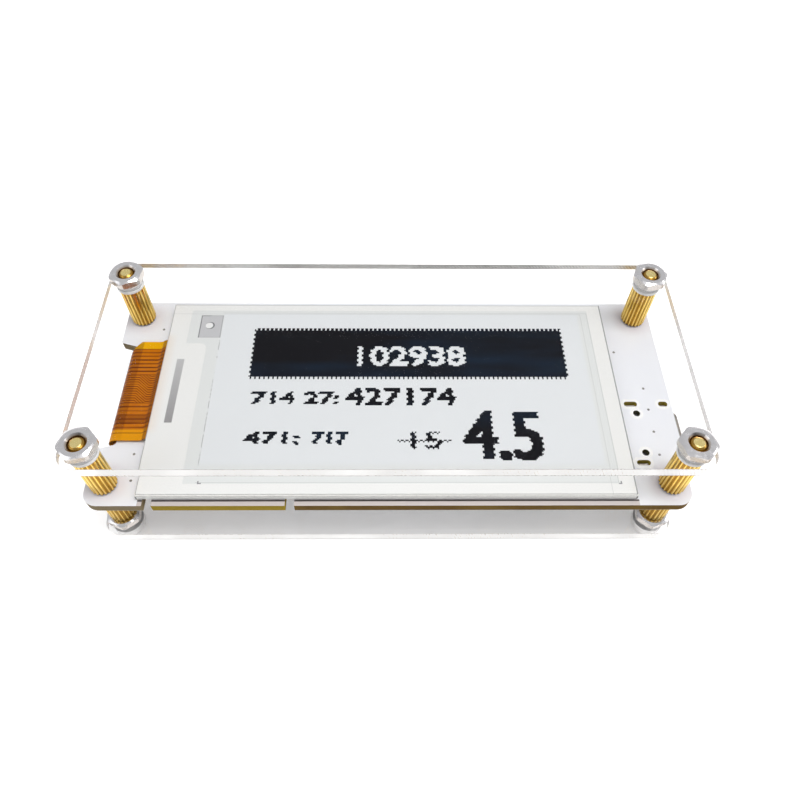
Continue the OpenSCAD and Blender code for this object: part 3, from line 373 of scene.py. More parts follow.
world = bpy.data.worlds.new("light tent")
scene.world = world
world.use_nodes = True
tree = world.node_tree
sky = tree.nodes["Background"]
rays = tree.nodes.new("ShaderNodeLightPath").outputs
toward = split(tree, tree.nodes.new("ShaderNodeTexCoord").outputs["Generated"])
front = spread(tree, times(tree, toward[1], -1.0), 0.15, 0.75, smooth=True)
low = spread(tree, toward[2], 0.35, 0.85, 1.0, 0.0, smooth=True)
tent = tint(tree, times(tree, front, low), TENT_BRIGHT, TENT_FRONT)
clear = most(tree, rays["Is Camera Ray"], rays["Is Transmission Ray"])
mirrored = times(tree, rays["Is Singular Ray"],
                 calc(tree, "COMPARE", rays["Glossy Depth"], 1.0, 0.5),
                 calc(tree, "LESS_THAN", rays["Transmission Depth"], 2.5),
                 calc(tree, "GREATER_THAN", toward[2], 0.2))
shade = tint(tree, clear, tent, (1.0, 1.0, 1.0))
feed(tree, sky.inputs["Color"], tint(tree, mirrored, shade, TENT_MIRRORED))
feed(tree, sky.inputs["Strength"], spread(tree, clear, 0.0, 1.0, TENT_SHARE, 1.0))
print("tent hung")

# %% Switch on the lamps
LABEL_MIDDLE = Vector((0.0, 0.0, 0.012))


def soft_lamp(name, place, size, watts, colour):
    """A square lamp at a place in metres that looks at the middle of the label."""
    data = bpy.data.lights.new(name, "AREA")
    data.shape = "SQUARE"
    data.size = size
    data.energy = watts
    data.color = colour
    lamp = bpy.data.objects.new(name, data)
    scene.collection.objects.link(lamp)
    lamp.location = place
    lamp.rotation_euler = (LABEL_MIDDLE - lamp.location).to_track_quat("-Z", "Y").to_euler()


soft_lamp("key lamp", (0.12, -0.04, 0.48), 0.20, 1.12, (1.0, 0.99, 0.98))
soft_lamp("side lamp", (0.46, 0.02, 0.22), 0.16, 0.27, (1.0, 1.0, 1.0))
soft_lamp("fill lamp", (-0.40, -0.14, 0.34), 0.30, 0.27, (0.96, 0.98, 1.0))
scene.view_settings.view_transform = "Standard"
print("three lamps on")

# %% [markdown]
# ## Clear plates
#
# The plates are acrylic sheet cut by a laser. Their faces are perfectly clear; the cut edge is
# frosted by fine upright lines that the pulsing beam leaves. One finish serves both: the slope
# of the surface tells the shader whether it is on a face or on the cut. Light has to pass
# through the plates to the board, so lamp rays go straight through, as clear plates let them.

# %% Acrylic
HATCH_STEP = 0.42
HATCH_LEAN = 0.45
PAINTED_EDGE_GLOW = 0.50
LIP = 0.15
CUT_NEAR, CUT_FAR = 14.6, 15.3
PLATE_LEVELS = [corner.z / MM for corner in (*top_plate, *lower_plate)]


def acrylic_finish():
    """Clear sheet whose laser-cut edge has painted shade at the rear and a faint painted glow."""
    material, tree, shader = finish("clear acrylic", base_color=(1.0, 1.0, 1.0), roughness=0.0,
                                    ior=1.49, transmission_weight=1.0, specular_ior_level=0.3)
    cut = side_share(tree)
    place = millimetres(tree)
    x, y, z = split(tree, place)
    beam_lines = noise(tree, millimetres(tree, (7.0, 7.0, 0.35)), 1.0, 3.0, 0.7)
    hatch = stripes(tree, calc(tree, "ADD", x, times(tree, z, HATCH_LEAN)), HATCH_STEP)
    patchy = spread(tree, noise(tree, place, 0.16, 1.0), 0.40, 0.54)
    hatch = times(tree, spread(tree, hatch, -0.2, 0.8), patchy)
    frost = spread(tree, beam_lines, 0.3, 0.7, 0.20, 0.48)
    clear_share = opposite(tree, times(tree, cut, opposite(tree, frost)))
    feed(tree, shader.inputs["Transmission Weight"], clear_share)

    # Painted light and shade by side: the front cut stays lightest, the side cuts are painted a
    # little darker and warmer, the rear cut darkest.
    rear = spread(tree, y, CUT_NEAR, CUT_FAR)
    front = spread(tree, y, -CUT_FAR, -CUT_NEAR, 1.0, 0.0)
    aside = opposite(tree, most(tree, front, rear))
    edge_tone = tint(tree, hatch, (1.0, 0.995, 0.98), (0.84, 0.82, 0.80))
    edge_tone = over(tree, edge_tone, aside, (0.86, 0.81, 0.78), 0.8)
    rear_shaded_tone = tint(tree, hatch, (0.74, 0.71, 0.66), (0.32, 0.29, 0.25))
    edge_tone = over(tree, edge_tone, rear, rear_shaded_tone, 0.8)
    # A painted dark outline along the top and bottom rims of each cut.
    lips = most(tree, *[between(tree, z, level - LIP, level + LIP, 0.02) for level in PLATE_LEVELS])
    edge_tone = over(tree, edge_tone, lips, (0.50, 0.48, 0.47), 0.85)
    cover(tree, shader, tint(tree, cut, (1.0, 1.0, 1.0), edge_tone),
          times(tree, cut, spread(tree, beam_lines, 0.35, 0.65, 0.12, 0.45)),
          times(tree, cut, beam_lines), 0.03, 0.3)

    # A painted glow on the cut, strongest along the front; the sheet is no lamp.
    painted_glow = times(tree, spread(tree, front, 0.0, 1.0, PAINTED_EDGE_GLOW * 0.2, PAINTED_EDGE_GLOW),
                     opposite(tree, rear), spread(tree, hatch, 0.0, 1.0, 1.0, 0.72))
    feed(tree, shader.inputs["Emission Color"], edge_tone)
    feed(tree, shader.inputs["Emission Strength"], times(tree, cut, painted_glow))
    rays = tree.nodes.new("ShaderNodeLightPath").outputs
    let_through(tree, shader, rays["Is Shadow Ray"], rays["Is Diffuse Ray"])
    return material


acrylic = acrylic_finish()
print("acrylic mixed")

# %% [markdown]
# ## Brass and nickel
#
# The standoffs are knurled brass. The knurl itself is in the CAD model; the finish polishes the
# crests and paints shade into the bottom of each groove. It also paints a dark contact shadow
# round the foot of each upper standoff, and shade on the lower standoffs under the board. The
# distance from the nearest screw's axis tells groove from crest, and all four screws share one
# formula because they stand symmetrically about the middle of the label.

# %% Metals
CREST_RADIUS = 1.62
GROOVE_RADIUS = 1.38
FOOT_SHADOW_HEIGHT = 0.3
BORE_INNER, BORE_OUTER = 1.04, 1.26
RING_RATE = 40.0


def brass_finish():
    """Turned and knurled brass."""
    material, tree, shader = finish("knurled brass", metallic=1.0, roughness=0.2)
    crest = spread(tree, from_screw(tree), GROOVE_RADIUS, CREST_RADIUS, smooth=True)
    turning = noise(tree, millimetres(tree, (0.6, 0.6, 14.0)), 1.0, 3.0)
    patina = noise(tree, millimetres(tree), 0.9, 3.0)
    bright = tint(tree, patina, (0.90, 0.61, 0.13), (0.96, 0.71, 0.21))
    # Painted shade in the grooves: dark brown there, bright brass on the crests.
    colour = tint(tree, crest, (0.36, 0.18, 0.015), bright)
    height = split(tree, millimetres(tree))[2]
    # Painted shade on the lower standoffs, which stand under the board.
    shaded_below_board = spread(tree, height, board_under - 0.2, board_under, 1.0, 0.0)
    colour = over(tree, colour, shaded_below_board, (0.22, 0.11, 0.01), 0.45)
    # A painted dark contact shadow round the foot of each upper standoff.
    painted_foot_shadow = between(tree, height, board_top, board_top + FOOT_SHADOW_HEIGHT, 0.05)
    colour = over(tree, colour, painted_foot_shadow, (0.09, 0.035, 0.006), 0.85)
    cover(tree, shader, colour, spread(tree, crest, 0.0, 1.0, 0.42, 0.17), turning, 0.01, 0.35)
    return material


def nickel_finish():
    """Plated steel with the turning tool's fine rings; sides and bore painted darker as shade."""
    material, tree, shader = finish("nickel plate", metallic=1.0)
    rings = calc(tree, "SINE", times(tree, from_screw(tree), RING_RATE))
    cloud = noise(tree, millimetres(tree), 1.6, 4.0)
    colour = tint(tree, cloud, (0.72, 0.70, 0.71), (0.84, 0.83, 0.85))
    # The sides are painted darker than the top faces: painted shade.
    colour = over(tree, colour, side_share(tree), (0.58, 0.53, 0.48), 0.7)
    # Painted brownish shade in the mouth of the bore.
    shaded_bore = spread(tree, from_screw(tree), BORE_INNER, BORE_OUTER, 1.0, 0.0)
    colour = over(tree, colour, shaded_bore, (0.36, 0.24, 0.12), 0.8)
    cover(tree, shader, colour, spread(tree, cloud, 0.3, 0.7, 0.16, 0.30), rings, 0.001, 0.12)
    return material


def zinc_finish():
    """Dull zinc on the screws, which scatters more light than nickel."""
    material, tree, shader = finish("dull zinc", metallic=0.55, specular_ior_level=0.5)
    cloud = noise(tree, millimetres(tree), 2.4, 4.0)
    cover(tree, shader, tint(tree, cloud, (0.82, 0.81, 0.80), (0.93, 0.92, 0.92)),
          spread(tree, cloud, 0.3, 0.7, 0.38, 0.52), cloud, 0.006, 0.3)
    return material


def plated_finish(name, first, second, rough):
    """Bright contact metal: gold, silver or tin, with a faintly uneven plating."""
    material, tree, shader = finish(name, metallic=1.0)
    cloud = noise(tree, millimetres(tree), 3.0, 3.0)
    cover(tree, shader, tint(tree, cloud, first, second),
          spread(tree, cloud, 0.3, 0.7, rough, rough + 0.12), cloud, 0.01, 0.25)
    return material


brass = brass_finish()
nickel = nickel_finish()
zinc = zinc_finish()
gold = plated_finish("contact gold", (0.86, 0.62, 0.28), (0.95, 0.74, 0.40), 0.18)
silver = plated_finish("contact silver", (0.52, 0.52, 0.54), (0.62, 0.62, 0.63), 0.38)
tin = plated_finish("matt tin", (0.60, 0.60, 0.60), (0.75, 0.75, 0.74), 0.30)
steel = plated_finish("bright steel", (0.62, 0.62, 0.63), (0.74, 0.74, 0.74), 0.20)
shell_steel = plated_finish("drawn shell steel", (0.30, 0.27, 0.24), (0.52, 0.48, 0.44), 0.30)
can_steel = plated_finish("shield can steel", (0.66, 0.66, 0.66), (0.78, 0.78, 0.77), 0.26)
print("nine metals")

# %% [markdown]
# ## The circuit board
#
# The board is glass cloth and resin under a white, slightly bluish lacquer. Lacquer covers the
# two faces only, so the cut edge shows the olive resin with its layers of cloth. The lacquer is
# glossy and follows the copper underneath, which is a faint relief of tracks.

# %% Board finish
HALO = 0.42
HOLE_WALL = 0.1
PEG_HOLE = 1.0
USB_HOLES = [((30.20, -1.96, 31.90, -1.21), 0.37), ((34.63, -1.96, 35.83, -1.21), 0.37),
             ((30.20, -10.60, 31.90, -9.85), 0.37), ((34.63, -10.60, 35.83, -9.85), 0.37),
             ((31.13, -3.46, 32.03, -2.56), 0.45), ((31.13, -9.24, 32.03, -8.34), 0.45)]
PAINTED_LIGHT_EDGE = (-28.6, -11.8)
TAB_EDGE = (-28.9, -28.3)
STRIP_HALF = 29.7
STRIP_EDGE = (-14.95, -14.75)
GAP_SHADOW_BAND = (-15.08, -14.85)


def resin_finish(tree, x, y, z, cloth, cloud_place):
    """Olive resin on the cut, with painted light on part of the front and a lighter lacquer rim."""
    blotch = noise(tree, cloud_place, 0.25, 1.0)
    resin = tint(tree, cloth, (0.11, 0.055, 0.004), (0.20, 0.11, 0.010))
    resin = over(tree, resin, spread(tree, blotch, 0.45, 0.65, 0.0, 0.5), (0.24, 0.15, 0.02))
    # Painted light: one stretch of the front edge is painted a brighter olive.
    resin = over(tree, resin, between(tree, x, *PAINTED_LIGHT_EDGE, 0.5),
                 tint(tree, cloth, (0.32, 0.21, 0.010), (0.50, 0.36, 0.022)))
    resin = over(tree, resin, spread(tree, x, *TAB_EDGE, 1.0, 0.0),
                 tint(tree, cloth, (0.22, 0.17, 0.09), (0.34, 0.27, 0.16)))
    lips = between(tree, z, board_under - 0.1, board_under + 0.06, 0.01)
    resin = over(tree, resin, lips, (0.80, 0.78, 0.70), 0.5)
    for box, radius in USB_HOLES:
        wall = in_round_box(tree, x, y, grown(box, HOLE_WALL), radius + HOLE_WALL, 0.02)
        is_peg_hole = box[2] - box[0] < PEG_HOLE
        resin = over(tree, resin, wall, (0.10, 0.09, 0.035) if is_peg_hole else (0.42, 0.33, 0.04))
    return resin


def lacquer_finish(tree, x, y, cloud_place):
    """White lacquer, paler round the socket's holes, with painted shade near the posts and panel.
    """
    cloud = noise(tree, cloud_place, 0.35, 3.0)
    lacquer = tint(tree, cloud, (0.86, 0.87, 0.92), (0.90, 0.91, 0.94))
    for box, radius in USB_HOLES:
        halo = in_round_box(tree, x, y, grown(box, HALO), radius + HALO, 0.06)
        lacquer = over(tree, lacquer, halo, (0.97, 0.97, 0.965))
    # A painted lilac shadow round the foot of each post.
    painted_post_shadow = spread(tree, from_screw(tree), 1.6, 3.4, 0.45, 0.0, smooth=True)
    lacquer = over(tree, lacquer, painted_post_shadow, (0.72, 0.66, 0.74))
    # A painted shade strip on the board in front of the panel.
    strip = times(tree, spread(tree, y, *STRIP_EDGE, 1.0, 0.0),
                  calc(tree, "LESS_THAN", calc(tree, "ABSOLUTE", x), STRIP_HALF))
    lacquer = over(tree, lacquer, strip, (0.60, 0.53, 0.50), 0.9)
    # A dark painted shadow line in the gap under the panel's front.
    painted_gap_shadow = times(tree, between(tree, y, *GAP_SHADOW_BAND, 0.03), strip)
    return over(tree, lacquer, painted_gap_shadow, (0.05, 0.04, 0.04))


def board_finish():
    """White lacquer on the faces, bare laminate on the cut edge."""
    material, tree, shader = finish("white board", roughness=0.35, specular_ior_level=0.35)
    cut = side_share(tree)
    place = millimetres(tree)
    x, y, z = split(tree, place)
    cloth = noise(tree, millimetres(tree, (0.5, 0.5, 9.0)), 1.0, 3.0, 0.6)
    tracks = tree.nodes.new("ShaderNodeTexBrick")
    tracks.inputs["Scale"].default_value = 0.35
    tracks.inputs["Mortar Size"].default_value = 0.06
    tracks.inputs["Mortar Smooth"].default_value = 0.6
    tree.links.new(millimetres(tree, turn=0.785), tracks.inputs["Vector"])
    grain = calc(tree, "ADD", times(tree, tracks.outputs["Fac"], 0.4), times(tree, cloth, cut))
    colour = tint(tree, cut, lacquer_finish(tree, x, y, place),
                  resin_finish(tree, x, y, z, cloth, place))
    cover(tree, shader, colour, spread(tree, cut, 0.0, 1.0, 0.32, 0.85), grain, 0.02, 0.3)
    return material


board_white = board_finish()
print("board lacquered")

# %% [markdown]
# ## The screen's layers
#
# An e-paper panel is a stack: a glass with a bare ledge for its driver chip, the ink film with a
# silver contact in its corner, a bead of sealant round the ink, and a milky cover film over all.
# The eye sees the cover film, through which the layers show as soft patches of slightly
# different white. They are painted in the film's finish as rectangles with soft borders, in
# millimetres, and a thin line follows the edge of each layer.

# %% Patches of the screen
ACTIVE = (-22.7, -11.2, 25.85, 12.5)
INK_FILM = (-27.1, -13.4, 27.3, 13.1)
LEDGE = (-31.0, -16.0, -24.35, 7.3)
LEDGE_CORNER = 0.9
CONTACT = (-25.73, 8.3, -22.73, 12.2)
CONTACT_HOLE = Vector((-24.35, 10.40))
CONTACT_HOLE_RADIUS = 0.56
CONTACT_SHADE = 0.12
DRIVER = (-27.85, -5.25, -26.9, 4.65)
FRAME_BOX = (-25.4, -13.3, 27.25, 12.7)
FRAME_START = -22.9
FRAME_LINE = 0.07
ACTIVE_BORDER = (-40.0, -40.0, 26.35, 12.5)
ACTIVE_LINE = 0.06
DOTTED_LINE = (-22.76, -11.2, -22.66, 8.0)
CORNER_TICKS = [(-22.65, -13.45, -22.2, -13.3), (-22.65, -13.45, -22.5, -13.05),
                (27.2, -13.5, 27.6, -13.35), (27.45, -13.5, 27.6, -13.1)]
FLEX_ROOT = (-29.6, -28.3)
FLEX_SIDES = (-6.55, 8.55)

LEDGE_WHITE = (0.87, 0.868, 0.85)
MARGIN_WHITE = (0.77, 0.785, 0.775)
ACTIVE_WHITE = (0.79, 0.81, 0.825)
LINE_GREY = (0.50, 0.51, 0.50)
print(len(CORNER_TICKS), "corner ticks noted")

# %% Lines and the contact
def film_lines(tree, x, y, colour):
    """The thin lines along the layers' borders, and the ticks at the corners."""
    frame_line = times(tree, ring_of(tree, x, y, FRAME_BOX, FRAME_LINE),
                       calc(tree, "GREATER_THAN", x, FRAME_START))
    colour = over(tree, colour, frame_line, LINE_GREY, 0.7)
    active_line = ring_of(tree, x, y, ACTIVE_BORDER, ACTIVE_LINE)
    colour = over(tree, colour, active_line, LINE_GREY, 0.6)
    dashes = spread(tree, noise(tree, millimetres(tree, (0.1, 2.2, 0.1)), 1.0, 1.0), 0.47, 0.53)
    dotted = times(tree, in_box(tree, x, y, DOTTED_LINE, 0.02), dashes)
    colour = over(tree, colour, dotted, (0.36, 0.36, 0.36), 0.8)
    for box in CORNER_TICKS:
        colour = over(tree, colour, in_box(tree, x, y, box, 0.03), (0.25, 0.25, 0.26))
    return colour


def film_contact(tree, x, y, colour, square):
    """The silver square with painted shade on its rims, and the hole with a painted dark crescent.
    """
    colour = over(tree, colour, square, (0.56, 0.56, 0.575))
    x0, y0, x1, y1 = CONTACT
    # Painted shade along the rims of the square's step.
    for box, share in (((x0, y0, x0 + 0.14, y1), 0.85), ((x0, y1 - 0.12, x0 + 1.3, y1), 0.85),
                       ((x0 + 1.3, y1 - 0.10, x1, y1), 0.35), ((x1 - 0.12, y0, x1, y1), 0.45),
                       ((x0, y0, x1, y0 + 0.10), 0.30)):
        colour = over(tree, colour, in_box(tree, x, y, box, 0.03), (0.16, 0.16, 0.17), share)
    # The hole: a dark disc with a lighter one set off to the left, leaving a painted crescent of
    # shade.
    for shift, radius, tone in ((0.0, CONTACT_HOLE_RADIUS + 0.05, (0.20, 0.20, 0.21)),
                                (-CONTACT_SHADE, CONTACT_HOLE_RADIUS - 0.06, (0.88, 0.88, 0.87))):
        hole_x, hole_y = CONTACT_HOLE.x + shift, CONTACT_HOLE.y
        disc = grown((hole_x, hole_y, hole_x, hole_y), radius)
        colour = over(tree, colour, in_round_box(tree, x, y, disc, radius, 0.03), tone)
    return colour


print("lines and contact ready")

# %% Paint the film
def film_finish():
    """The milky film with the layers that show through it."""
    material, tree, shader = finish("cover film", roughness=0.38, specular_ior_level=0.25)
    place = millimetres(tree)
    x, y, _ = split(tree, place)
    ink_film = in_box(tree, x, y, INK_FILM, 0.10)
    ledge = in_round_box(tree, x, y, LEDGE, LEDGE_CORNER, 0.10)
    square = in_box(tree, x, y, CONTACT, 0.04)
    colour = tint(tree, ink_film, LEDGE_WHITE, MARGIN_WHITE)
    colour = over(tree, colour, ledge, LEDGE_WHITE)
    colour = over(tree, colour, in_box(tree, x, y, ACTIVE, 0.25), ACTIVE_WHITE)
    colour = film_lines(tree, x, y, colour)
    colour = film_contact(tree, x, y, colour, square)
    low, high = film_low / MM, film_high / MM
    # A painted dark line of shade along the film's right, left and rear edges.
    border = most(tree, spread(tree, x, high.x - 0.17, high.x - 0.11),
                  spread(tree, x, low.x + 0.07, low.x + 0.11, 0.8, 0.0),
                  spread(tree, y, high.y - 0.11, high.y - 0.07, 0.0, 0.8))
    colour = over(tree, colour, border, (0.22, 0.22, 0.23), 0.85)
    # The driver chip under the film, with a painted sheen that brightens towards its rear end.
    painted_sheen = spread(tree, y, DRIVER[1], DRIVER[3])
    metal = tint(tree, painted_sheen, (0.30, 0.29, 0.295), (0.52, 0.515, 0.52))
    colour = over(tree, colour, in_box(tree, x, y, DRIVER, 0.05), metal)
    by_flex = times(tree, spread(tree, x, *FLEX_ROOT, 1.0, 0.0), between(tree, y, *FLEX_SIDES, 0.7))
    colour = over(tree, colour, by_flex, (0.80, 0.58, 0.40), 0.35)
    grain = noise(tree, place, 5.0, 3.0)
    colour = over(tree, colour, spread(tree, grain, 0.35, 0.65, 0.0, 0.10), (0.62, 0.64, 0.64))
    steps = calc(tree, "SUBTRACT", times(tree, ink_film, opposite(tree, ledge)),
                 times(tree, square, 0.6))
    cover(tree, shader, colour, spread(tree, grain, 0.3, 0.7, 0.33, 0.43), steps, 0.05, 0.35)
    return material


cover_film = film_finish()
print("film painted with its layers")

# %% [markdown]
# ## Plain layers and plastics
#
# The other layers and the moulded parts are simple in colour but not flat: moulded nylon has a
# fine grain, chip resin a coarser one, ceramic is smooth with a soft speckle. One function takes
# two close colours, a grain and a roughness, and makes each of them.

# %% Moulded and layered finishes
def moulded_finish(name, first, second, grain, rough, depth=0.01):
    """A dull solid with a cloudy colour and a fine grain, in clouds to a millimetre."""
    material, tree, shader = finish(name, specular_ior_level=0.4)
    place = millimetres(tree)
    cloud = noise(tree, place, grain * 0.25, 2.0)
    fine = noise(tree, place, grain, 4.0, 0.6)
    cover(tree, shader, tint(tree, spread(tree, cloud, 0.35, 0.65), first, second),
          spread(tree, fine, 0.3, 0.7, rough - 0.06, rough + 0.06), fine, depth, 0.4)
    return material


def glass_finish():
    """The panel's ground edge: painted shade in its side and rear rims, light along its front."""
    material, tree, shader = finish("panel glass edge", roughness=0.2)
    place = millimetres(tree)
    x, y, _ = split(tree, place)
    low, high = (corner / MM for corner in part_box("display_glass"))
    # Painted shade: the side and rear rims of the glass are painted dark.
    rims = most(tree, spread(tree, x, high.x - 0.2, high.x - 0.14),
                spread(tree, x, low.x + 0.14, low.x + 0.2, 1.0, 0.0),
                spread(tree, y, high.y - 0.2, high.y - 0.14))
    cloud = noise(tree, place, 2.0, 3.0)
    pale = tint(tree, cloud, (0.84, 0.85, 0.84), (0.93, 0.94, 0.93))
    cover(tree, shader, tint(tree, rims, pale, (0.16, 0.17, 0.17)),
          spread(tree, cloud, 0.3, 0.7, 0.15, 0.28), cloud, 0.01, 0.2)
    return material


foam = moulded_finish("foam tape", (0.035, 0.033, 0.032), (0.06, 0.058, 0.055), 9.0, 0.85, 0.03)
panel_glass = glass_finish()
ink_layer = moulded_finish("ink film edge", (0.84, 0.85, 0.83), (0.90, 0.91, 0.89), 6.0, 0.5)
sealant = moulded_finish("sealant", (0.86, 0.86, 0.83), (0.92, 0.92, 0.89), 4.0, 0.3, 0.02)
white_mask = moulded_finish("ledge film", (0.82, 0.82, 0.80), (0.88, 0.88, 0.86), 5.0, 0.45)
silicon = moulded_finish("driver silicon", (0.16, 0.16, 0.17), (0.23, 0.23, 0.25), 3.0, 0.15)
ivory = moulded_finish("connector ivory", (0.74, 0.66, 0.50), (0.80, 0.73, 0.58), 8.0, 0.45)
latch_black = moulded_finish("latch black", (0.015, 0.015, 0.016), (0.03, 0.03, 0.032), 8.0, 0.42)
socket_black = moulded_finish("socket black", (0.018, 0.018, 0.019), (0.035, 0.035, 0.036),
                              8.0, 0.48)
switch_black = moulded_finish("switch black", (0.02, 0.02, 0.021), (0.04, 0.04, 0.042), 8.0, 0.5)
button_ivory = moulded_finish("button ivory", (0.72, 0.66, 0.52), (0.78, 0.72, 0.60), 8.0, 0.4)
module_mask = moulded_finish("module mask", (0.010, 0.020, 0.045), (0.015, 0.03, 0.06), 3.0, 0.32)
chip_resin = moulded_finish("chip resin", (0.020, 0.020, 0.022), (0.038, 0.038, 0.04),
                            12.0, 0.55, 0.02)
ferrite = moulded_finish("ferrite", (0.045, 0.043, 0.042), (0.08, 0.077, 0.075), 9.0, 0.7, 0.03)
ceramic = moulded_finish("ceramic", (0.42, 0.30, 0.18), (0.52, 0.39, 0.25), 6.0, 0.35)
resistor_black = moulded_finish("resistor glaze", (0.015, 0.015, 0.016), (0.04, 0.04, 0.045),
                                7.0, 0.25)
lens = moulded_finish("light lens", (0.78, 0.76, 0.60), (0.86, 0.85, 0.72), 5.0, 0.18)
stiffener_blue = moulded_finish("stiffener", (0.02, 0.10, 0.30), (0.03, 0.14, 0.36), 5.0, 0.4)
print("moulded finishes ready")

# %% [markdown]
# ## The amber flex
#
# The flex is a thin amber foil with copper tracks inside. Tracks run along its length as brown
# stripes, a few of them fan out at a slant in the middle, and both borders are bare foil, which
# is bright yellow where light comes through. A foil is glossy with a slightly wavy surface.

# %% Flex finish
FLEX_FRONT, FLEX_REAR = (corner.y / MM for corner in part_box("display_flex"))
TRACK_STEP = 0.62
FAN_STEP = 0.36
FAN = (-1.7, 2.6)
FAN_CLIMB = (-32.5, -31.1, 0.0, 1.25)
DARK_BUNDLE = (-4.7, -3.5)
BARE_FRONT = FLEX_FRONT + 1.5
BARE_REAR = FLEX_REAR - 1.25
LONE_TRACK = FLEX_FRONT + 1.0
FOLD_LINE = -33.0
DIP_SHADE_BAND = (-30.35, -29.75)


def flex_tracks(tree, x, y):
    """1 on the tracks: straight ones, with a slanted fan in the middle."""
    fan = between(tree, y, *FAN, 0.1)
    wide = stripes(tree, y, TRACK_STEP)
    fine = stripes(tree, calc(tree, "ADD", y, spread(tree, x, *FAN_CLIMB)), FAN_STEP)
    wave = calc(tree, "ADD", times(tree, wide, opposite(tree, fan)), times(tree, fine, fan))
    bundles = noise(tree, millimetres(tree, (0.12, 1.0, 0.05)), 1.0, 2.0)
    return times(tree, spread(tree, wave, 0.1, 0.6, smooth=True),
                 spread(tree, bundles, 0.38, 0.55, 0.45, 1.0))


def flex_finish():
    """Amber foil with its tracks."""
    material, tree, shader = finish("amber flex", specular_ior_level=0.12)
    place = millimetres(tree)
    x, y, _ = split(tree, place)
    track = flex_tracks(tree, x, y)
    amber = tint(tree, noise(tree, place, 0.8, 2.0), (0.49, 0.12, 0.001), (0.66, 0.20, 0.002))
    colour = over(tree, amber, track, (0.09, 0.020, 0.001), 0.85)
    colour = over(tree, colour, between(tree, y, *DARK_BUNDLE, 0.12), (0.20, 0.045, 0.002), 0.6)
    front = spread(tree, y, BARE_FRONT, BARE_FRONT + 0.1, 1.0, 0.0)
    colour = over(tree, colour, front, (0.76, 0.31, 0.001))
    colour = over(tree, colour, spread(tree, y, BARE_REAR, BARE_REAR + 0.1), (0.84, 0.42, 0.001))
    lone = between(tree, y, LONE_TRACK, LONE_TRACK + 0.12, 0.02)
    colour = over(tree, colour, lone, (0.20, 0.05, 0.002), 0.8)
    # Painted shade in the fold where the flex rolls over, weaker at its front border.
    fold_shade = spread(tree, x, FOLD_LINE - 0.06, FOLD_LINE + 0.06, 1.0, 0.0)
    fold_shade = times(tree, fold_shade, spread(tree, front, 0.0, 1.0, 0.38, 0.10))
    colour = over(tree, colour, fold_shade, (0.10, 0.022, 0.001))
    # Painted shade in a band where the flex dips from the glass down to the board.
    colour = over(tree, colour, between(tree, x, *DIP_SHADE_BAND, 0.12), (0.16, 0.05, 0.002), 0.6)
    ripple = calc(tree, "ADD", times(tree, track, 0.6), noise(tree, place, 1.2, 2.0))
    cover(tree, shader, colour, 0.24, ripple, 0.03, 0.5)
    return material


amber_flex = flex_finish()
print("flex ready")

# %% [markdown]
# ## Dressing the parts
#
# Every part of the frame now gets its finish. The table names them by what they are made of,
# and a check at the end of the cell makes sure that none was forgotten.

# %% Give each part its finish
FINISHES = {
    "top_plate bottom_plate": acrylic,
    "upper_standoffs lower_standoffs": brass,
    "top_nuts bottom_nuts": nickel,
    "bottom_screws": zinc,
    "circuit_board": board_white,
    "mounting_tape": foam,
    "display_glass": panel_glass,
    "ink_film": ink_layer,
    "edge_seal": sealant,
    "contact_pad": silver,
    "driver_chip": silicon,
    "ledge_mask": white_mask,
    "cover_film": cover_film,
    "display_flex": amber_flex,
    "flex_stiffener": stiffener_blue,
    "flex_connector": ivory,
    "flex_contacts usb_contacts bridge_chip_pads radio_antenna": gold,
    "flex_latch": latch_black,
    "usb_shell": shell_steel,
    "reset_switch_cover user_switch_cover reset_switch_dome user_switch_dome": steel,
    "usb_tongue battery_socket": socket_black,
    "battery_pins switch_legs chip_legs inductor_terminals chip_part_ends": tin,
    "reset_switch_base user_switch_base": switch_black,
    "reset_button user_button": button_ivory,
    "radio_board": module_mask,
    "radio_shield crystal": can_steel,
    "bridge_chip power_chips diodes": chip_resin,
    "boost_inductor": ferrite,
    "capacitors": ceramic,
    "resistors": resistor_black,
    "status_lights": lens,
}

bare = set(nodes)
for names, material in FINISHES.items():
    for name in names.split():
        slots = nodes[name].data.materials
        slots.clear()
        slots.append(material)
        bare.discard(name)
print("parts still bare:", sorted(bare) or "none")

# %% [markdown]
# ## Helpers for new pieces
#
# New pieces start as a bmesh. When one is done it becomes an object at the origin with its
# place in its mesh, rides on a body of the frame, and takes the finishes it is given.

# %% Make a piece from a bmesh
def make_piece(name, shape, slot, *materials, body="label", smooth=False):
    """Turns a bmesh into a piece that rides on a body of the frame."""
    data = bpy.data.meshes.new(name)
    shape.to_mesh(data)
    shape.free()
    for material in materials:
        data.materials.append(material)
    for face in data.polygons:
        face.use_smooth = smooth
    piece = bpy.data.objects.new(name, data)
    scene.collection.objects.link(piece)
    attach(piece, body)
    print(name, "has", len(data.polygons), "faces")
    return piece


def add_bar(shape, box, low, high):
    """A bar over a rectangle, from one height to another, in millimetres."""
    x0, y0, x1, y1 = box
    middle = Vector(((x0 + x1) / 2.0, (y0 + y1) / 2.0, (low + high) / 2.0)) * MM
    size = Matrix.Diagonal(((x1 - x0) * MM, (y1 - y0) * MM, (high - low) * MM, 1.0))
    bmesh.ops.create_cube(shape, size=1.0, matrix=Matrix.Translation(middle) @ size)


def border_of(box, width):
    """The front, rear, left and right bars along the border of a rectangle."""
    x0, y0, x1, y1 = box
    return [(x0, y0, x1, y0 + width), (x0, y1 - width, x1, y1),
            (x0, y0 + width, x0 + width, y1 - width), (x1 - width, y0 + width, x1, y1 - width)]


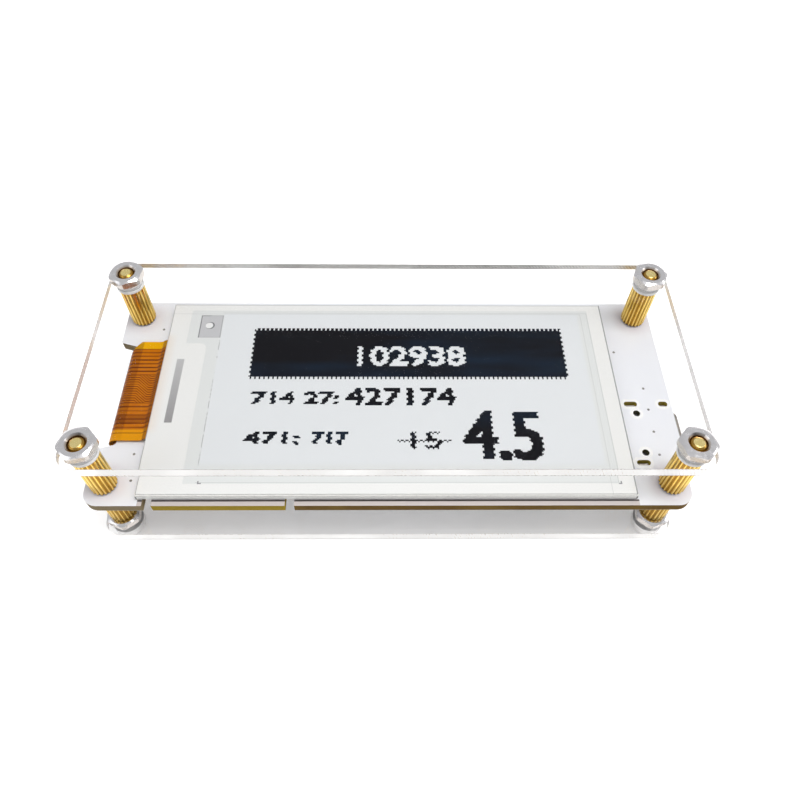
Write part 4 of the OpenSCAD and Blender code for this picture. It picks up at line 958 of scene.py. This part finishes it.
def round_rims(shape, level, way, offset):
    """Rounds the edges past a level: above it where way is 1, below it where way is -1."""
    rims = [edge for edge in shape.edges
            if all((vertex.co.z - level) * way > 0.0 for vertex in edge.verts)]
    bmesh.ops.bevel(shape, geom=rims, offset=offset * MM, segments=2, affect="EDGES", profile=0.5,
                    material=-1)


print("piece helpers ready")

# %% [markdown]
# ## Ink on the screen
#
# E-paper shows dots on a grid, and at this size the dots can be counted: 250 across and 122 up.
# Letters drawn as smooth outlines would look printed, not displayed. So each number is first
# made as a flat text, then a ray is dropped through the middle of each dot: where it meets the
# text, the dot is dark. This kind of controller mixes up its dots a little: two rows of four
# stand one dot to the right, and in some places two columns of three stand higher, which gives
# the torn edges. Dots side by side are then joined into one strip per row.
# The strips are a few thousandths of a millimetre thick and lie on the cover film.

# %% Dots of a text
DOT = 0.194
DOT_ORIGIN = ACTIVE[:2]
INK_HEIGHT = 0.008


def dot_at(x, y):
    """The column and row of the dot under a place."""
    return math.floor((x - DOT_ORIGIN[0]) / DOT), math.floor((y - DOT_ORIGIN[1]) / DOT)


def middle_of(column, row):
    """The middle of a dot."""
    return DOT_ORIGIN[0] + (column + 0.5) * DOT, DOT_ORIGIN[1] + (row + 0.5) * DOT


def flat_text(words, box):
    """A text as a flat bmesh that fills the rectangle, with millimetres as its unit."""
    curve = bpy.data.curves.new("words", "FONT")
    curve.body = words
    holder = bpy.data.objects.new("words", curve)
    scene.collection.objects.link(holder)
    bpy.context.view_layer.update()
    flat = bmesh.new()
    flat.from_mesh(holder.to_mesh())
    holder.to_mesh_clear()
    bpy.data.objects.remove(holder)
    xs = [vertex.co.x for vertex in flat.verts]
    ys = [vertex.co.y for vertex in flat.verts]
    x0, y0, x1, y1 = box
    stretch = Vector(((x1 - x0) / (max(xs) - min(xs)), (y1 - y0) / (max(ys) - min(ys)), 1.0))
    bmesh.ops.translate(flat, verts=flat.verts, vec=(-min(xs), -min(ys), 0.0))
    bmesh.ops.scale(flat, verts=flat.verts, vec=stretch)
    bmesh.ops.translate(flat, verts=flat.verts, vec=(x0, y0, 0.0))
    return flat


def text_dots(words, box, bold=0):
    """The dots (column, row) that a text covers when it fills the rectangle.

    A bold text has every dot repeated this many times to the right, and once upwards."""
    lifts = min(bold, 1)
    x0, y0, x1, y1 = box[0], box[1], box[2] - bold * DOT, box[3] - lifts * DOT
    flat = flat_text(words, (x0, y0, x1, y1))
    tree = BVHTree.FromBMesh(flat)
    dots = set()
    first, last = dot_at(x0, y0), dot_at(x1, y1)
    for row in range(first[1], last[1] + 1):
        for column in range(first[0], last[0] + 1):
            x, y = middle_of(column, row)
            if tree.ray_cast(Vector((x, y, 1.0)), Vector((0.0, 0.0, -1.0)))[0]:
                dots.update((column + step, row + lift)
                            for step in range(bold + 1) for lift in range(lifts + 1))
    flat.free()
    return dots


def torn(dots, lift=0):
    """The dots as the controller draws them: two columns of three stand lift rows higher."""
    shifted = {(column + row // 2 % 2, row) for column, row in dots}
    return {(column, row + lift * (column % 3 > 0)) for column, row in shifted}


def strips_of(dots):
    """Joins dots side by side: (row, first column, last column) of each strip."""
    strips = []
    for column, row in sorted(dots, key=lambda dot: (dot[1], dot[0])):
        if strips and strips[-1][0] == row and strips[-1][2] == column - 1:
            strips[-1][2] = column
        else:
            strips.append([row, column, column])
    return strips


print("dots are", DOT, "mm apart")

# %% [markdown]
# The screen shows plain figures: a white number in a dark bar, two lines with a light and a bold
# part, a small number struck out, and a large one. The bar's dots are those of its rectangle
# without those of its number.

# %% Lay the ink
BAR = (-18.05, 1.6, 23.1, 9.7)
BAR_NUMBER = (-4.3, 3.6, 9.9, 6.85)
STRIKE = (1.0, 7.7, -8.0)


def ink_finish():
    """Nearly black capsules with a bluish sheen in streaks."""
    material, tree, shader = finish("dark ink", roughness=0.5, specular_ior_level=0.06)
    capsules = noise(tree, millimetres(tree), 6.0, 3.0)
    streaks = noise(tree, millimetres(tree, (0.05, 0.22, 1.0), 0.25), 1.0, 3.0)
    dark = tint(tree, capsules, (0.004, 0.004, 0.005), (0.008, 0.008, 0.011))
    colour = over(tree, dark, spread(tree, streaks, 0.42, 0.66), (0.008, 0.015, 0.028))
    cover(tree, shader, colour, spread(tree, capsules, 0.3, 0.7, 0.42, 0.58), capsules, 0.004, 0.3)
    return material


def ink_piece(name, dots):
    """Lays the strips on the cover film."""
    shape = bmesh.new()
    for row, first, last in strips_of(dots):
        x0, y = middle_of(first, row)
        x1 = middle_of(last, row)[0]
        add_bar(shape, grown((x0, y, x1, y), DOT / 2.0), film_top, film_top + INK_HEIGHT)
    make_piece(name, shape, "ink", screen_ink)


def bar_dots():
    """The dark bar with its number left white."""
    first, last = dot_at(*BAR[:2]), dot_at(*BAR[2:])
    dots = {(column, row) for row in range(first[1], last[1])
            for column in range(first[0], last[0])}
    return torn(dots, 2) - torn(text_dots("102938", BAR_NUMBER, 1))


def strike_dots(x0, x1, y):
    """A line one dot high."""
    first, last = dot_at(x0, y), dot_at(x1, y)
    return {(column, first[1]) for column in range(first[0], last[0])}


screen_ink = ink_finish()
ink_piece("screen_bar", bar_dots())
for name, words, box, bold in (("line_one_light", "714 27:", (-17.6, -2.55, -6.5, -0.55), 1),
                               ("line_one_bold", "427174", (-5.7, -2.7, 8.3, 0.1), 1),
                               ("line_two_light", "471:", (-17.9, -8.4, -11.15, -6.55), 1),
                               ("line_two_bold", "717", (-9.65, -8.4, -5.2, -6.5), 1),
                               ("large_number", "4.5", (8.9, -10.6, 18.7, -3.5), 3)):
    ink_piece(name, torn(text_dots(words, box, bold)))
ink_piece("old_number", torn(text_dots("15", (2.6, -9.1, 6.2, -6.7)) | strike_dots(*STRIKE), 1))
print("ink laid")

# %% [markdown]
# ## Ends of the studs
#
# A stud ends in a flat face with a chamfer: the face is bright brass, the chamfer is painted
# darker as shade. Each is a small cone with a rounded top, set on the stud inside the nut.

# %% Turn the stud ends
STUD_RADIUS = 0.86
STUD_FACE = 0.62
STUD_RISE = 0.16


def stud_ends():
    """Four chamfered ends on the upper standoffs' studs."""
    shape = bmesh.new()
    for screw in SCREWS:
        lift = Matrix.Translation(screw + Vector((0.0, 0.0, stud_top + STUD_RISE * MM / 2.0)))
        bmesh.ops.create_cone(shape, cap_ends=True, segments=32, radius1=STUD_RADIUS * MM,
                              radius2=STUD_FACE * MM, depth=STUD_RISE * MM, matrix=lift)
    round_rims(shape, stud_top + STUD_RISE * MM * 0.9, 1, 0.07)
    make_piece("stud_ends", shape, "brass", stud_brass)


def stud_finish():
    """A bright turned face in a chamfer painted darker as shade."""
    material, tree, shader = finish("stud brass", metallic=1.0, roughness=0.22)
    cloud = noise(tree, millimetres(tree), 3.0, 3.0)
    # The chamfer round the face is painted darker: painted shade.
    face = spread(tree, from_screw(tree), STUD_FACE - 0.04, STUD_FACE + 0.06, 1.0, 0.0)
    bright = tint(tree, cloud, (0.93, 0.72, 0.26), (0.98, 0.84, 0.42))
    cover(tree, shader, tint(tree, face, (0.42, 0.24, 0.05), bright),
          spread(tree, cloud, 0.3, 0.7, 0.18, 0.32), cloud, 0.01, 0.4)
    return material


stud_brass = stud_finish()
stud_ends()

# %% [markdown]
# ## A bead under the cover film
#
# The cover film reaches past the ink film. A narrow white bead fills the gap between its border
# and the glass on the three sides without the flex, and stands out a little past the film. It
# is made of three thin bars.

# %% Lay the bead
BEAD_WIDTH = 0.30
BEAD_REACH = 0.12


def film_bead():
    """Bars between the cover film's border and the glass, all but the left one."""
    shape = bmesh.new()
    low, high = film_low / MM, film_high / MM
    glass_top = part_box("display_glass")[1].z / MM
    front, rear, _, right = border_of(grown((low.x, low.y, high.x, high.y), BEAD_REACH), BEAD_WIDTH)
    for bar in (front, rear, right):
        add_bar(shape, bar, glass_top, low.z)
    make_piece("film_bead", shape, "seal", sealant)


film_bead()

# %% [markdown]
# ## Frosted rims
#
# The laser leaves a raised, frosted rim where it leaves the sheet. Under the top plate each hole
# has one, a white collar round the head of its standoff, with a thin skin over the head. Both
# are rings made by spinning a small four-sided section about the screw's axis.

# %% Spin the rims
RIM_INNER = 1.61
RIM_OUTER = 1.74
RIM_HEIGHT = 0.55
SKIN_INNER = 1.03
COLLAR = [(RIM_INNER, 0.0), (RIM_OUTER, 0.0), (RIM_OUTER, -RIM_HEIGHT * 0.8),
          (RIM_INNER, -RIM_HEIGHT)]
SKIN = [(SKIN_INNER, 0.02), (RIM_INNER, 0.02), (RIM_INNER, 0.05), (SKIN_INNER, 0.05)]


def hole_rims():
    """Four frosted collars under the holes of the top plate."""
    shape = bmesh.new()
    for screw in SCREWS:
        axis = screw + Vector((0.0, 0.0, top_plate[0].z))
        for section in (COLLAR, SKIN):
            corners = [shape.verts.new(axis + Vector((out, 0.0, up)) * MM) for out, up in section]
            edges = [shape.edges.new((corners[i], corners[i - 1])) for i in range(4)]
            bmesh.ops.spin(shape, geom=corners + edges, cent=axis, axis=(0.0, 0.0, 1.0),
                           angle=math.tau, steps=48, use_merge=True)
    bmesh.ops.recalc_face_normals(shape, faces=shape.faces)
    make_piece("hole_rims", shape, "acrylic", frost_white, smooth=True)


frost_white = moulded_finish("frosted rim", (0.94, 0.935, 0.93), (0.98, 0.975, 0.97), 5.0, 0.5)
hole_rims()

# %% [markdown]
# ## Vias
#
# Small plated holes join the copper of both sides. Under the lacquer each is a low ring with a
# dark dot in it, the painted shade of its hole. One bmesh holds them all: a disc is inset for
# the ring, and its middle is pushed down a little and given the dark finish.

# %% Drill the vias
VIAS = [(33.2, 0.87), (33.2, -2.44), (33.2, -5.77), (33.2, -9.11), (-31.0, 10.75), (-31.1, -8.98),
        (-31.0, -12.3), (30.4, 6.9)]
VIA_RADIUS = 0.17
VIA_HOLE = 0.045
VIA_RISE = 0.012


def via_rings():
    """Lacquered rings with a dark hole, on both faces of the board."""
    shape = bmesh.new()
    for x, y in VIAS:
        for level, way in ((board_top, 1.0), (board_under, -1.0)):
            place = Matrix.Translation(Vector((x, y, level + way * VIA_RISE)) * MM)
            flip = Matrix.Rotation(0.0 if way > 0 else math.pi, 4, "X")
            made = bmesh.ops.create_circle(shape, cap_ends=True, segments=16,
                                           radius=VIA_RADIUS * MM, matrix=place @ flip)
            disc = made["verts"][0].link_faces[0]
            bmesh.ops.inset_region(shape, faces=[disc], thickness=(VIA_RADIUS - VIA_HOLE) * MM,
                                   depth=-VIA_RISE * 0.6 * MM)
            # The middle takes the dark finish: painted shade of the hole.
            disc.material_index = 1
    make_piece("vias", shape, "solder_mask", board_white, via_hole_shade)


via_hole_shade = moulded_finish("via hole", (0.20, 0.19, 0.18), (0.30, 0.28, 0.26), 8.0, 0.6)
via_rings()

# %% [markdown]
# ## Solder under the board
#
# Every small part sits on a pad of solder. The frame's meshes are welded in a copy and walked
# face by face to find the separate pieces, and each piece gets a pad a little larger than its
# own foot, with a rounded rim. Thin printed frames mark the places of the chips.

# %% Lay the pads
PAD_ROOM = 0.16
PAD_RISE = 0.05
PRINT_WIDTH = 0.12
PRINT_ROOM = 0.45
PRINT_RISE = 0.01
ON_BOARD = board_under - 0.2


def welded_copy(name):
    """A copy of a part's mesh with its loose triangles joined."""
    shape = bmesh.new()
    shape.from_mesh(nodes[name].data)
    bmesh.ops.remove_doubles(shape, verts=shape.verts, dist=WELD * MM)
    return shape


def feet_of(*names):
    """The rectangle and the top, in millimetres, of each separate piece of some parts."""
    feet = []
    for name in names:
        welded = welded_copy(name)
        left = set(welded.verts)
        while left:
            reached = [left.pop()]
            for vertex in reached:
                for edge in vertex.link_edges:
                    other = edge.other_vert(vertex)
                    if other in left:
                        left.discard(other)
                        reached.append(other)
            xs, ys, zs = zip(*(vertex.co / MM for vertex in reached))
            feet.append(((min(xs), min(ys), max(xs), max(ys)), max(zs)))
        welded.free()
    return feet


def solder_pads():
    """A rounded pad under each end and leg."""
    shape = bmesh.new()
    for box, top in feet_of("chip_part_ends", "chip_legs", "switch_legs", "inductor_terminals"):
        if top > ON_BOARD:
            add_bar(shape, grown(box, PAD_ROOM), board_under - PAD_RISE, board_under)
    round_rims(shape, (board_under - PAD_RISE * 0.9) * MM, -1, PAD_RISE * 0.8)
    make_piece("solder_pads", shape, "tin", solder)


def printed_frames():
    """Thin frames round the chips, printed on the lacquer."""
    shape = bmesh.new()
    for box, _ in feet_of("bridge_chip", "power_chips", "boost_inductor", "crystal", "diodes"):
        for bar in border_of(grown(box, PRINT_ROOM), PRINT_WIDTH):
            add_bar(shape, bar, board_under - PRINT_RISE, board_under)
    make_piece("printed_frames", shape, "solder_mask", print_black)


solder = plated_finish("solder", (0.62, 0.62, 0.64), (0.80, 0.80, 0.80), 0.22)
print_black = moulded_finish("board print", (0.03, 0.03, 0.035), (0.06, 0.06, 0.065), 9.0, 0.6)
solder_pads()
printed_frames()

# %% [markdown]
# ## Spring discs
#
# Under each button lies a small domed disc of spring steel. When the button is pressed the disc
# snaps flat and clicks. A copy of each disc, with a mesh of its own, stands in for it.


def sprung_disc(name):
    """A copy of a domed disc, with a mesh of its own, that stands in for it."""
    piece = make_piece(name + "_sprung", welded_copy(name), "bright_steel", steel)
    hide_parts(name)
    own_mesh(piece)


for switch in ("reset", "user"):
    sprung_disc(switch + "_switch_dome")

# %% [markdown]
# ## Done

# %% Finish
print("the label is dressed")
